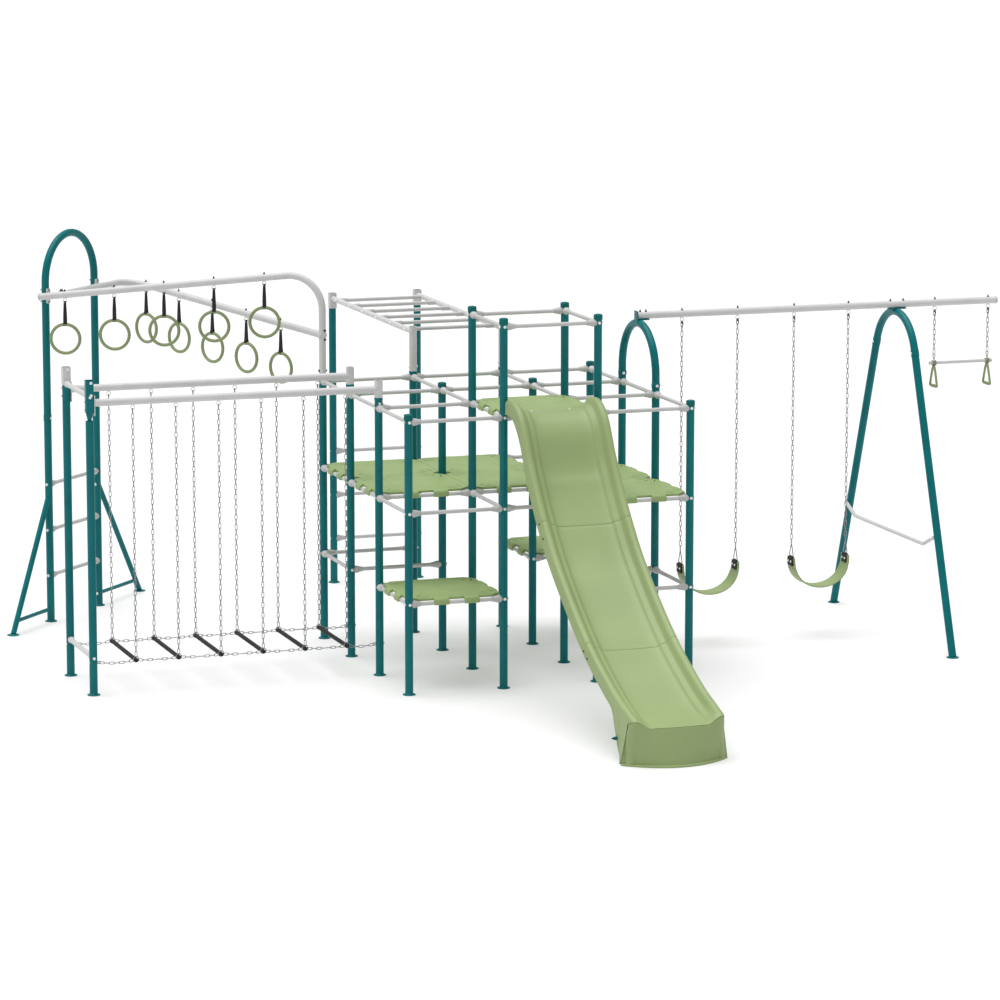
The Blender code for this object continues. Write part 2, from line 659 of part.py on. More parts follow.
def build_slide(green):
    """Three moulded sections; a cross tube carries the last one near the ground."""
    seam = 0.0006
    foot = (SLIDE_FOOT_Y + 0.001, SLIDE_FOOT_Y - 0.001)
    stations = {
        "slide_top": (-0.055, -0.28, -0.42, -0.58, -0.74, -0.95, SLIDE_SEAMS[0] + seam),
        "slide_middle": (SLIDE_SEAMS[0], -1.50, -1.80, -2.10, SLIDE_SEAMS[1] + seam),
        "slide_bottom": (SLIDE_SEAMS[1], -2.75, -3.05, *foot, -3.42, -3.55, -3.67),
    }
    for name, places in stations.items():
        body = bmesh.new()
        loops = [slide_loop(y) for y in places]
        if name == "slide_bottom":
            loops += [slide_loop(y, open_below=False) for y in (-3.675, SLIDE_FRONT_Y)]
        add_loft(body, loops)
        shapes = [body]
        if name == "slide_bottom":
            tube = bmesh.new()
            reach = Vector((SLIDE_HALF + 0.020, 0, 0))
            middle = slide_point(0, -3.33, 0.20)
            add_tube(tube, middle - reach, middle + reach, 0.010, sides=8)
            shapes.append(tube)
        make_part(name, green, shapes)


# ---------------------------------------------------------------- swings
def swing_apex():
    """Height of the hoops' centre line where the swing beam rests on them."""
    return SWING_BEAM_Z * CELL - BEAM_R - POST_R - GAP


def build_swing_arch(teal):
    up = Vector((0, 0, 1))
    half = CELL / 2
    base = at(3, 1.5)
    path = [base - Y_AXIS * half + up * 0.002]
    path += arc(base + up * (swing_apex() - half), -Y_AXIS, up, half, 0, 180, 10)
    path.append(base + Y_AXIS * half + up * 0.002)
    hoop = bmesh.new()
    add_sweep(hoop, path, POST_R, X_AXIS, sides=8)
    plates = bmesh.new()
    for i, j in SWING_ARCH_POSTS:
        add_tube(plates, at(i, j), at(i, j) + up * PLATE_T, PLATE_R)
    make_part("swing_arch", teal, [hoop, plates])


def build_swing_a_frame(teal):
    """Raking legs under one bend that is tangent to both, with a dropped crossbar."""
    up = Vector((0, 0, 1))
    apex = swing_apex()
    feet = [at(A_FRAME_X, y) for y in A_FRAME_FEET_Y]
    middle = (feet[0] + feet[1]) / 2
    spread = (feet[1] - feet[0]).length / 2
    rake = math.radians(A_FRAME_RAKE)
    bend_r = (spread * math.cos(rake) - apex * math.sin(rake)) / (1 - math.sin(rake))
    bend = arc(middle + up * (apex - bend_r), Y_AXIS, up, bend_r, A_FRAME_RAKE, 180 - A_FRAME_RAKE, 10)
    legs = bmesh.new()
    add_sweep(legs, [feet[1] + up * 0.001] + bend + [feet[0] + up * 0.001], POST_R, X_AXIS, sides=8)
    plates = bmesh.new()
    for foot in feet:
        add_tube(plates, foot - up * 0.012, foot + up * PLATE_T, PLATE_R, sides=12)
    bar = bmesh.new()
    shift = X_AXIS * 0.030
    corners = [at(A_FRAME_X, y, z) - shift for y, z in CROSSBAR]
    add_sweep(bar, rounded(corners, 0.10, steps=4), RAIL_R, X_AXIS, sides=8)
    cut = bmesh.new()
    add_box(cut, middle + Vector((0, 0, -0.10)), (1.0, 3.0, 0.20))
    make_part("swing_a_frame", teal, [legs, plates, bar], cut)


def build_swing_beam(white):
    beam = bmesh.new()
    add_tube(beam, at(2.97, SWING_Y, SWING_BEAM_Z), at(BEAM_END_X, SWING_Y, SWING_BEAM_Z), BEAM_R)
    hooks = bmesh.new()
    for pair in SWING_HOOKS + (TRAPEZE_HOOKS,):
        for x in pair:
            add_hook(hooks, at(x, SWING_Y, SWING_BEAM_Z), BEAM_R, 0.0)
    make_part("swing_beam", white, [beam, hooks])


def belt_line(left, right, clamp_z, low_z, steps):
    """Hanging line of a belt seat: a steep-sided sag between its two clamps."""
    points = []
    for k in range(steps + 1):
        angle = math.pi * k / steps
        x = (left + right) / 2 - (right - left) / 2 * math.cos(angle)
        points.append((x, clamp_z - (clamp_z - low_z) * math.sin(angle) ** 0.8))
    return points


def build_seat(name, rubber, left, right, origin):
    line = belt_line(left, right, CLAMP_Z * CELL, SEAT_LOW_Z * CELL, 10)
    loops = []
    for k, (x, z) in enumerate(line):
        before = line[max(k - 1, 0)]
        after = line[min(k + 1, len(line) - 1)]
        way = Vector((after[0] - before[0], 0, after[1] - before[1])).normalized()
        out = Vector((-way.z, 0, way.x)) * SEAT_T / 2
        near = Vector((x, origin.y - SEAT_WIDTH / 2, z))
        far = Vector((x, origin.y + SEAT_WIDTH / 2, z))
        loops.append([near - out, far - out, far + out, near + out])
    belt = bmesh.new()
    add_loft(belt, loops)
    clamps = bmesh.new()
    for x in (left, right):
        place = Vector((x, origin.y, CLAMP_Z * CELL + CLAMP_H / 2 - 0.012))
        add_box(clamps, place, (0.022, SEAT_WIDTH * 0.80, CLAMP_H))
    make_part(name, rubber, [belt, clamps], origin=origin)


def build_swings(steel, rubber):
    pivot_z = SWING_BEAM_Z * CELL - BEAM_R - HOOK_EYE
    clamp_top = CLAMP_Z * CELL + CLAMP_H - 0.012
    for k, pair in enumerate(SWING_HOOKS):
        left, right = (at(x, SWING_Y).x for x in pair)
        y = at(0, SWING_Y).y
        build_seat(f"swing_seat_{k + 1}", rubber, left, right, Vector(((left + right) / 2, y, pivot_z)))
        for side, x in (("left", left), ("right", right)):
            origin = Vector((x, y, pivot_z))
            chain = bmesh.new()
            knee = Vector((x, y, clamp_top + TRIANGLE_H))
            add_tube(chain, origin - Vector((0, 0, CHAIN_BELOW_EYE)), knee - Vector((0, 0, 0.006)), CHAIN_R, sides=6)
            triangle = bmesh.new()
            base = Vector((x, y, clamp_top + GAP + 0.004))
            reach = Vector((0, TRIANGLE_HALF, 0))
            add_sweep(triangle, [knee, base - reach, base + reach], 0.004, X_AXIS, sides=6, cyclic=True)
            make_part(f"swing_chain_{k + 1}_{side}", steel, [chain, triangle], origin=origin)


def build_trapeze(steel, white, green):
    pivot_z = SWING_BEAM_Z * CELL - BEAM_R - HOOK_EYE
    bar_z = TRAPEZE_BAR_Z * CELL
    left, right = (at(x, SWING_Y).x for x in TRAPEZE_HOOKS)
    y = at(0, SWING_Y).y
    bar = bmesh.new()
    add_tube(bar, Vector((left - 0.034, y, bar_z)), Vector((right + 0.034, y, bar_z)), TRAPEZE_BAR_R)
    make_part("trapeze_bar", white, [bar], origin=Vector(((left + right) / 2, y, pivot_z)))
    for side, x in (("left", left), ("right", right)):
        chain = bmesh.new()
        top = Vector((x, y, pivot_z - CHAIN_BELOW_EYE))
        add_tube(chain, top, Vector((x, y, bar_z + TRAPEZE_BAR_R + GAP)), CHAIN_R, sides=6)
        make_part(f"trapeze_chain_{side}", steel, [chain], origin=Vector((x, y, pivot_z)))
        strap = bmesh.new()
        high = bar_z - TRAPEZE_BAR_R - GAP
        low = bar_z - 0.040
        add_box(strap, Vector((x, y, (high + low) / 2)), (0.018, 0.012, high - low))
        frame = bmesh.new()
        base = Vector((x, y, bar_z - HANDLE_H))
        reach = Vector((0, HANDLE_HALF, 0))
        apex = Vector((x, y, bar_z - 0.036))
        add_sweep(frame, [apex, base - reach, base + reach], 0.0085, X_AXIS, sides=8, cyclic=True)
        make_part(f"trapeze_handle_{side}", green, [strap, frame], origin=Vector((x, y, bar_z)))


# ---------------------------------------------------------------- the whole set
def clear_scene():
    for obj in list(bpy.data.objects):
        bpy.data.objects.remove(obj, do_unlink=True)


def main():
    clear_scene()
    teal = finish_of("teal_powder_coat", (0.006, 0.138, 0.162), 0.35)
    white = finish_of("white_powder_coat", (0.68, 0.68, 0.68), 0.35)
    grey = finish_of("grey_powder_coat", (0.50, 0.50, 0.49), 0.40)
    zinc = finish_of("zinc_steel", (0.55, 0.56, 0.56), 0.30, 1.0)
    green = finish_of("green_plastic", (0.36, 0.48, 0.18), 0.42)
    dark = finish_of("dark_steel", (0.030, 0.032, 0.034), 0.60)
    build_posts(teal)
    build_tower(teal)
    build_levels(grey)
    build_decks(green)
    build_monkey_ladder(white)
    build_monkey_end(teal)
    build_bridge_frame(white)
    build_steps(dark)
    build_ring_arch(teal)
    build_ring_rails(white)
    build_rings(green)
    build_slide(green)
    build_swing_arch(teal)
    build_swing_a_frame(teal)
    build_swing_beam(white)
    build_swings(zinc, green)
    build_trapeze(zinc, white, green)


main()
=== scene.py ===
"""Looks of a backyard climbing set: cube climber, monkey bars, ring trek, chain bridge, slide and swings.

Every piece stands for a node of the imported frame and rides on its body. Places come from the frame:
the square grid of posts, the boxes of the nodes and the joints. Lengths are in metres.
"""
import json
import math

import bmesh
import bpy
from mathutils import Matrix, Vector


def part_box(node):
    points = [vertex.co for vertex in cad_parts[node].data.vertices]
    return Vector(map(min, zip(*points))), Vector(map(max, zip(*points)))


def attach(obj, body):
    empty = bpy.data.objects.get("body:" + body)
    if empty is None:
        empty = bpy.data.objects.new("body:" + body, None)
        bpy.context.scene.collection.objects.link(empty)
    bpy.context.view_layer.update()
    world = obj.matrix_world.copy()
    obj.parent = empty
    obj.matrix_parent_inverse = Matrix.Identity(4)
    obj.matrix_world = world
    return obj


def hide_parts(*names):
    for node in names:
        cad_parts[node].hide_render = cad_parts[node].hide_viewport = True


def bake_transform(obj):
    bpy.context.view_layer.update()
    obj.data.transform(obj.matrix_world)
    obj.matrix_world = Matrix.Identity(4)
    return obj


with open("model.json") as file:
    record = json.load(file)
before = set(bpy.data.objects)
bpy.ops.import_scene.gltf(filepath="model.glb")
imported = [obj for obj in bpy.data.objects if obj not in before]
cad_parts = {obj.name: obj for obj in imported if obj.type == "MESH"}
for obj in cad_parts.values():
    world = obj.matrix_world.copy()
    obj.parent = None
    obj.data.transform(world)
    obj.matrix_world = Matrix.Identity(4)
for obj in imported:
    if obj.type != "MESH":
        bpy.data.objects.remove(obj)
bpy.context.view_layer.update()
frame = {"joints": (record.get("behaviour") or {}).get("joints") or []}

X_AXIS, Y_AXIS, UP = Vector((1, 0, 0)), Vector((0, 1, 0)), Vector((0, 0, 1))

# ---------------------------------------------------------------- sizes
POST_R = 0.025
RAIL_R = 0.0125
BEAM_R = 0.023
RING_RAIL_R = 0.023
MONKEY_RAIL_R = 0.018
BRACE_R = 0.018
FOOT_R = 0.040
SOCKET_LENGTH = 0.050
CAP_RISE = 0.012            # a cap above its tube
CHAIN_PITCH = 0.032
CHAIN_WIRE_R = 0.0023
CHAIN_HALF_WIDTH = 0.0070
RING_R = 0.0950
RING_TUBE_R = 0.0108
HOOK_EYE = 0.020            # from a beam's underside down to the eye of a hook
WASHER_SINK = 0.002         # how deep a washer is let into its surface
TOUCH_GAP = 0.0003          # between two pieces that touch
POST_START = 0.003          # a post begins inside its foot plate
BRACKET_HALF = 0.0262       # half the width of a square sleeve
SMALL_NUT_R = 0.0062
SMALL_BOLT_R = 0.0055
ROUND_SIDES = 32            # around a post
SHARP_ANGLE = 35            # degrees: sharper edges stay crisp
SWING_CHAIN_START = 0.040   # from a hook's eye down to the first link
LADDER_SIDES = ((1, -1), (2, 1))        # line of the grid, and which way is outwards


# ---------------------------------------------------------------- places, read from the frame
def middle(node):
    low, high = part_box(node)
    return (low + high) / 2


def top_of(node):
    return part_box(node)[1].z


CORNER = middle("post_0_0")
CELL = (middle("post_3_0").x - CORNER.x) / 3
JOINTS = {joint["name"]: joint for joint in frame["joints"]}


def at(i, j, z=0.0):
    """A place of the post grid, with its height in metres."""
    return Vector((CORNER.x + i * CELL, CORNER.y + j * CELL, z))


def pivot(joint):
    return Vector(JOINTS[joint]["pos_m"])


LOW_POSTS = ((0, 0), (3, 0), (0, 1), (0, 2), (1, 2), (2, 2), (0, 3), (1, 3), (2, 3), (3, 3))
TALL_POSTS = ((1, 0), (2, 0), (1, 1), (2, 1))
JOINED_POSTS = ((0, 1), (0, 2), (0, 3), (1, 3), (2, 3))     # another tube stands on these
SWING_ARCH_POSTS = ((3, 1), (3, 2))
DECKS = {0: ((0, 0), (2, 2)), 1: ((0, 1), (0, 2), (1, 1), (1, 2), (2, 0), (2, 1)), 2: ((1, 0),)}
EXTRA_RAILS = {
    0: (((0, 2), (0, 3)), ((0, 2), (1, 2)), ((0, 3), (1, 3)),
        ((2, 0), (3, 0)), ((3, 0), (3, 1)), ((2, 1), (3, 1))),
    1: (((0, 0), (1, 0)), ((1, 0), (2, 0)), ((1, 0), (1, 1)), ((0, 0), (0, 1)),
        ((2, 3), (3, 3)), ((3, 2), (3, 3))),
}
DECK_NODES = {"low_deck_front": (0, DECKS[0][:1]), "low_deck_back": (0, DECKS[0][1:]),
              "main_deck": (1, DECKS[1]), "top_deck": (2, DECKS[2])}
LEVEL_1_NODES = tuple(f"level_1_rails_{side}" for side in
                      ("front_left", "back_left", "front_right", "back_right"))
TOWER_RAIL_DROP = 0.055     # tower rails under the tips of the tower's caps
LOW_TOP = top_of("post_0_1")
LEVEL_Z = [middle(node).z for node in ("level_1_rails_front_left", "level_2_rails", "level_3_rails")]
LEVEL_Z.append(top_of("tower_frame") - TOWER_RAIL_DROP)


# ---------------------------------------------------------------- materials
def nodes_of(material):
    return material.node_tree.nodes, material.node_tree.links


def finish(name, colour, roughness, metallic=0.0, specular=0.5, tint=0.06, grain=900.0, bump=0.03,
           depth=0.0004, patch=7.0, rough_spread=0.10):
    """A coated or moulded surface: large soft patches in colour and gloss, and a fine grain in relief."""
    material = bpy.data.materials.new(name)
    material.use_nodes = True
    nodes, links = nodes_of(material)
    shader = nodes["Principled BSDF"]
    shader.inputs["Metallic"].default_value = metallic
    shader.inputs["Specular IOR Level"].default_value = specular
    place = nodes.new("ShaderNodeTexCoord")
    patches = nodes.new("ShaderNodeTexNoise")
    patches.inputs["Scale"].default_value = patch
    patches.inputs["Detail"].default_value = 5.0
    fine = nodes.new("ShaderNodeTexNoise")
    fine.inputs["Scale"].default_value = grain
    fine.inputs["Detail"].default_value = 2.0
    for texture in (patches, fine):
        links.new(place.outputs["Object"], texture.inputs["Vector"])
    ramp = nodes.new("ShaderNodeValToRGB")
    ramp.color_ramp.elements[0].position = 0.32
    ramp.color_ramp.elements[1].position = 0.68
    ramp.color_ramp.elements[0].color = (*[c * (1 - tint) for c in colour], 1)
    ramp.color_ramp.elements[1].color = (*[min(c * (1 + tint), 1) for c in colour], 1)
    links.new(patches.outputs["Fac"], ramp.inputs["Fac"])
    links.new(ramp.outputs["Color"], shader.inputs["Base Color"])
    spread = nodes.new("ShaderNodeMapRange")
    spread.inputs["To Min"].default_value = roughness - rough_spread / 2
    spread.inputs["To Max"].default_value = roughness + rough_spread / 2
    links.new(patches.outputs["Fac"], spread.inputs["Value"])
    links.new(spread.outputs["Result"], shader.inputs["Roughness"])
    relief = nodes.new("ShaderNodeBump")
    relief.inputs["Strength"].default_value = bump
    relief.inputs["Distance"].default_value = depth
    links.new(fine.outputs["Fac"], relief.inputs["Height"])
    links.new(relief.outputs["Normal"], shader.inputs["Normal"])
    return material


def webbing(name, colour, pitch):
    """Woven strap: crossed waves in relief, with a faint colour change along the weave."""
    material = finish(name, colour, 0.85, tint=0.15, grain=2500.0, bump=0.2)
    nodes, links = nodes_of(material)
    place = nodes["Texture Coordinate"]
    relief = nodes["Bump"]
    weave = nodes.new("ShaderNodeTexWave")
    weave.bands_direction = "Z"
    weave.inputs["Scale"].default_value = 1.0 / pitch / 6.28
    weave.inputs["Distortion"].default_value = 1.5
    weave.inputs["Detail"].default_value = 1.0
    links.new(place.outputs["Object"], weave.inputs["Vector"])
    second = nodes.new("ShaderNodeBump")
    second.inputs["Strength"].default_value = 0.6
    second.inputs["Distance"].default_value = 0.0008
    links.new(weave.outputs["Fac"], second.inputs["Height"])
    links.new(relief.outputs["Normal"], second.inputs["Normal"])
    links.new(second.outputs["Normal"], nodes["Principled BSDF"].inputs["Normal"])
    return material


TEAL = finish("teal_powder_coat", (0.001, 0.140, 0.152), 0.32, specular=0.16, tint=0.10)
TEAL_CAP = finish("teal_plastic", (0.001, 0.118, 0.115), 0.50, specular=0.16, tint=0.08, bump=0.06)
WHITE = finish("white_powder_coat", (0.57, 0.57, 0.57), 0.38, specular=0.35, tint=0.04)
GREY = finish("grey_powder_coat", (0.50, 0.50, 0.495), 0.42, specular=0.35, tint=0.05)
SOCKET = finish("grey_plastic", (0.46, 0.46, 0.455), 0.52, specular=0.3, tint=0.06, bump=0.08)
ZINC = finish("zinc_steel", (0.31, 0.31, 0.315), 0.38, metallic=1.0, tint=0.15, patch=40.0)
BOLT = finish("bolt_zinc", (0.82, 0.82, 0.82), 0.30, metallic=0.4, tint=0.08, patch=60.0)
DARK = finish("dark_steel", (0.030, 0.031, 0.033), 0.50, tint=0.15, bump=0.10)
GREEN = finish("green_plastic", (0.272, 0.350, 0.150), 0.45, specular=0.35, tint=0.035, grain=650.0,
               bump=0.10, patch=3.0)
DECK_GREEN = finish("green_deck_plastic", (0.275, 0.372, 0.150), 0.52, specular=0.3, tint=0.05, grain=420.0,
                    bump=0.18)
RING_GREEN = finish("green_ring_plastic", (0.250, 0.305, 0.150), 0.45, specular=0.35, tint=0.05, bump=0.12)
STRAP = webbing("black_webbing", (0.012, 0.012, 0.013), 0.003)
RUBBER = finish("black_rubber", (0.020, 0.020, 0.021), 0.70, specular=0.3, tint=0.2, bump=0.25)


# ---------------------------------------------------------------- shapes
def loft(bm, loops, cyclic=False, capped=True):
    """A skin through equal closed loops of points, with flat ends."""
    rows = [[bm.verts.new(point) for point in loop] for loop in loops]
    made = []
    pairs = list(zip(rows, rows[1:]))
    if cyclic:
        pairs.append((rows[-1], rows[0]))
    elif capped:
        made += [bm.faces.new(list(reversed(rows[0]))), bm.faces.new(rows[-1])]
    count = len(rows[0])
    for near, far in pairs:
        for k in range(count):
            after = (k + 1) % count
            made.append(bm.faces.new((near[k], near[after], far[after], far[k])))
    bmesh.ops.recalc_face_normals(bm, faces=made)


def circle(centre, u, v, radius, sides):
    turn = 2 * math.pi / sides
    return [centre + (u * math.cos(turn * k) + v * math.sin(turn * k)) * radius for k in range(sides)]


def arc(centre, u, v, radius, start, end, steps):
    points = []
    for k in range(steps + 1):
        angle = math.radians(start + (end - start) * k / steps)
        points.append(centre + u * radius * math.cos(angle) + v * radius * math.sin(angle))
    return points


def side_of(axis):
    """A unit vector square to the axis, level where it can be."""
    side = axis.cross(UP)
    return side.normalized() if side.length > 1e-3 else X_AXIS.copy()


def turned(bm, base, axis, profile, sides=24):
    """A turned body: profile of (radius, distance along the axis)."""
    axis = axis.normalized()
    u = side_of(axis)
    v = axis.cross(u)
    loft(bm, [circle(base + axis * along, u, v, max(radius, 1e-5), sides) for radius, along in profile])


def tube(bm, a, b, radius, sides=24):
    """A round bar with softly broken ends."""
    length = (b - a).length
    edge = min(radius * 0.12, length * 0.2)
    profile = [(radius - edge, 0), (radius, edge), (radius, length - edge), (radius - edge, length)]
    turned(bm, a, b - a, profile, sides)


def open_tube(bm, a, b, radius, wall=0.0025, depth=0.04, sides=24):
    """A tube whose far end is open, down to a depth."""
    length = (b - a).length
    profile = [(radius, 0), (radius, length - 0.0006), (radius - 0.0006, length), (radius - wall, length),
               (radius - wall, length - depth), (0, length - depth)]
    turned(bm, a, b - a, profile, sides)


def bracket(bm, base, top, half=BRACKET_HALF, wall=0.003, depth=0.03):
    """An upright square sleeve with rounded edges, open at its top."""
    loops = []
    rise = top - base.z
    for inset, z in ((0.0008, 0.0), (0.0, 0.0008), (0.0, rise - 0.0006), (0.0005, rise),
                     (wall - 0.0005, rise), (wall, rise - 0.0006), (wall, rise - depth)):
        reach, round_r = half - inset, max(0.0075 - inset, 0.003)
        loop = []
        for turn, (x, y) in enumerate(((1, 1), (-1, 1), (-1, -1), (1, -1))):
            centre = base + Vector((x * (reach - round_r), y * (reach - round_r), z))
            loop += arc(centre, X_AXIS, Y_AXIS, round_r, 90 * turn, 90 * turn + 90, 4)
        loops.append(loop)
    loft(bm, loops)


def sweep(bm, path, radius, normal, sides=20, cyclic=False):
    """A round tube along a path in the plane of the normal."""
    loops = []
    last = len(path) - 1
    for k, point in enumerate(path):
        before = path[k - 1] if k or cyclic else point
        after = path[(k + 1) % (last + 1)] if k < last or cyclic else point
        way = (after - before).normalized()
        loops.append(circle(point, normal, way.cross(normal), radius, sides))
    loft(bm, loops, cyclic)


def rounded(corners, radius, steps=10, cyclic=False):
    """A polyline with its corners turned into arcs."""
    count = len(corners)
    if cyclic:
        triples = [(corners[k - 1], corners[k], corners[(k + 1) % count]) for k in range(count)]
    else:
        triples = list(zip(corners, corners[1:], corners[2:]))
    points = []
    for before, corner, after in triples:
        back = (before - corner).normalized()
        ahead = (after - corner).normalized()
        half = back.angle(ahead) / 2
        centre = corner + (back + ahead).normalized() * radius / math.sin(half)
        first = corner + back * radius / math.tan(half) - centre
        last = corner + ahead * radius / math.tan(half) - centre
        points += [centre + first.slerp(last, k / steps).normalized() * radius for k in range(steps + 1)]
    return points if cyclic else [corners[0], *points, corners[-1]]


def wire_ring(bm, centre, u, v, radius, sides, wire, normal=None):
    """A closed wire ring in the plane of u and v."""
    sweep(bm, circle(centre, u, v, radius, sides), wire, normal or Y_AXIS, 8, cyclic=True)


def block(bm, centre, size, u=X_AXIS, v=Y_AXIS, edge=0.002):
    """A box along unit vectors u and v and their cross product, with broken edges."""
    w = u.cross(v)
    x, y, z = (s / 2 for s in size)
    loops = []
    for height, pull in ((-z, edge), (-z + edge, 0), (z - edge, 0), (z, edge)):
        outline = ((x - pull, y - edge - pull), (x - edge - pull, y - pull), (-x + edge + pull, y - pull),
                   (-x + pull, y - edge - pull), (-x + pull, -y + edge + pull), (-x + edge + pull, -y + pull),
                   (x - edge - pull, -y + pull), (x - pull, -y + edge + pull))
        loops.append([centre + u * a + v * b + w * height for a, b in outline])
    loft(bm, loops)


def bolt(bm, point, out, radius=0.0062):
    """A domed bolt head on its washer, standing out of a surface."""
    base = point - out * WASHER_SINK
    turned(bm, base, out, [(radius * 1.5, 0), (radius * 1.5, 0.0035), (radius * 1.4, 0.004)], 20)
    dome = [(radius, 0.003), (radius, 0.0055), (radius * 0.85, 0.0078), (radius * 0.5, 0.0092), (0, 0.0097)]
    turned(bm, base, out, dome, 20)


def nut(bm, point, out, radius=0.0075):
    """A hexagon nut and the bolt's end above it."""
    turned(bm, point - out * WASHER_SINK, out, [(radius * 1.35, 0), (radius * 1.35, 0.0035)], 20)
    turned(bm, point, out, [(radius, 0.001), (radius, 0.0085), (radius * 0.8, 0.0098)], 6)
    turned(bm, point, out, [(radius * 0.45, 0.008), (radius * 0.45, 0.0155), (0.001, 0.0165)], 12)


def socket(bm, axis_point, way, surface, length=SOCKET_LENGTH, wide=0.0235):
    """A moulded rail end: wide where it saddles the post, tapering to a lip on the rail."""
    lip = RAIL_R + 0.0035
    profile = [(wide * 0.90, surface - 0.012), (wide, surface + 0.004), (wide, surface + 0.012),
               (wide * 0.93, surface + 0.018), (lip + 0.0012, surface + length * 0.72),
               (lip, surface + length * 0.80), (lip, surface + length - 0.002),
               (lip - 0.0016, surface + length), (RAIL_R - 0.001, surface + length)]
    turned(bm, axis_point, way, profile, 24)


def piece(name, bm, material, body="root", nodes=()):
    mesh = bpy.data.meshes.new(name)
    bm.to_mesh(mesh)
    bm.free()
    mesh.materials.append(material)
    mesh.shade_smooth()
    mesh.set_sharp_from_angle(angle=math.radians(SHARP_ANGLE))
    obj = bpy.data.objects.new(name, mesh)
    bpy.context.scene.collection.objects.link(obj)
    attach(obj, body)
    if nodes:
        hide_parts(*nodes)
    return obj


class Batch:
    """Shapes that share a body, gathered by material; done() turns each into a piece."""

    def __init__(self, name, body="root", nodes=()):
        self.name, self.body, self.nodes, self.meshes = name, body, nodes, {}

    def __call__(self, part, material):
        return self.meshes.setdefault((part, material.name), (bmesh.new(), material))[0]

    def done(self):
        for (part, _), (bm, material) in self.meshes.items():
            piece(f"{self.name}_{part}", bm, material, self.body, self.nodes)
            self.nodes = ()


# ---------------------------------------------------------------- chains
def link(bm, centre, way, side):
    """One long chain link: a wire bent into a slot shape in the plane of way and side."""
    r = CHAIN_HALF_WIDTH
    reach = CHAIN_PITCH / 2 + CHAIN_WIRE_R - r
    path = arc(centre + way * reach, side, way, r, 0, 180, 4)
    path += arc(centre - way * reach, -side, -way, r, 0, 180, 4)
    sweep(bm, path, CHAIN_WIRE_R, way.cross(side), 6, cyclic=True)


def chain(bm, start, end, sag=0.0, across=None):
    """Links from start to end, every other one turned; a level run sags in between."""
    span = (end - start).length
    count = max(round(span / CHAIN_PITCH), 1)
    way = (end - start) / span
    across = across or side_of(way)
    other = way.cross(across)
    step = span / count
    for k in range(count):
        t = (k + 0.5) / count
        centre = start + way * step * (k + 0.5) - UP * sag * 4 * t * (1 - t)
        slope = (way - UP * sag * 4 * (1 - 2 * t) / span).normalized()
        side = across if k % 2 else other
        side = (side - slope * side.dot(slope)).normalized()
        link(bm, centre, slope, side)


def hanger(batch, beam_bottom, beam_r, bolted=True):
    """Eye under a beam, with the shackle it carries; bolted ones pass through to a nut above."""
    if bolted:
        nut(batch("nuts", DARK), beam_bottom + UP * (2 * beam_r - 0.001), UP, SMALL_NUT_R)
    turned(batch("bushes", BOLT), beam_bottom + UP * 0.003, -UP,
           [(0.0105, 0), (0.0105, 0.005), (0.0085, 0.0075), (0.005, 0.009)], 20)
    eye = beam_bottom - UP * (HOOK_EYE - 0.004)
    wire_ring(batch("eyes", BOLT), eye, X_AXIS, UP, 0.0125, 22, 0.0031)
    wire_ring(batch("shackles", DARK), eye - UP * 0.0165, Y_AXIS, UP, 0.0062, 14, 0.0026, X_AXIS)


# ---------------------------------------------------------------- cube climber
def lattice_edges(level):
    edges = set()
    if level == 2:
        edges |= {((i, j), (i + 1, j)) for i in range(3) for j in range(4)}
        edges |= {((i, j), (i, j + 1)) for i in range(4) for j in range(3)}
    for i, j in DECKS.get(level, ()):
        edges |= {((i, j), (i + 1, j)), ((i, j + 1), (i + 1, j + 1))}
        edges |= {((i, j), (i, j + 1)), ((i + 1, j), (i + 1, j + 1))}
    if level == 3:
        edges = {((1, 0), (2, 0)), ((1, 1), (2, 1)), ((1, 0), (1, 1)), ((2, 0), (2, 1))}
    edges |= set(EXTRA_RAILS.get(level, ()))
    return sorted(edges)


def hoop_path(base, along, spring, half):
    """Up one leg, round a half circle and down the other leg."""
    near, far = base - along * half, base + along * half
    path = [near + UP * POST_START, near + UP * spring * 0.5]
    path += arc(base + UP * spring, -along, UP, half, 0, 180, 48)
    return path + [far + UP * spring * 0.5, far + UP * POST_START]


def foot(bm, spot, shank_r=POST_R):
    """Flared foot plate under a post."""
    turned(bm, spot, UP, [(FOOT_R - 0.001, 0), (FOOT_R, 0.001), (FOOT_R, 0.004), (FOOT_R - 0.002, 0.0055),
                          (shank_r + 0.004, 0.0075), (shank_r, 0.013)], ROUND_SIDES)


def post_cap(bm, centre_top, radius=POST_R):
    """Domed plastic cap over a tube's end, whose top is at centre_top."""
    skirt = 0.026
    profile = [(radius - 0.001, -skirt), (radius + 0.0020, -skirt), (radius + 0.0028, -skirt + 0.002),
               (radius + 0.0028, CAP_RISE - 0.0095), (radius + 0.0016, CAP_RISE - 0.0060),
               (radius - 0.0020, CAP_RISE - 0.0035), (radius - 0.0080, CAP_RISE - 0.0015),
               (radius * 0.3, CAP_RISE - 0.0003), (0, CAP_RISE)]
    turned(bm, centre_top, UP, profile, ROUND_SIDES)


def end_cap(bm, point, way, radius, length):
    """Plug in a beam's end, with a rounded face."""
    wide = radius + 0.0015
    turned(bm, point, way, [(wide, 0), (wide, length), (radius - 0.004, length + 0.004), (0, length + 0.005)],
           ROUND_SIDES)


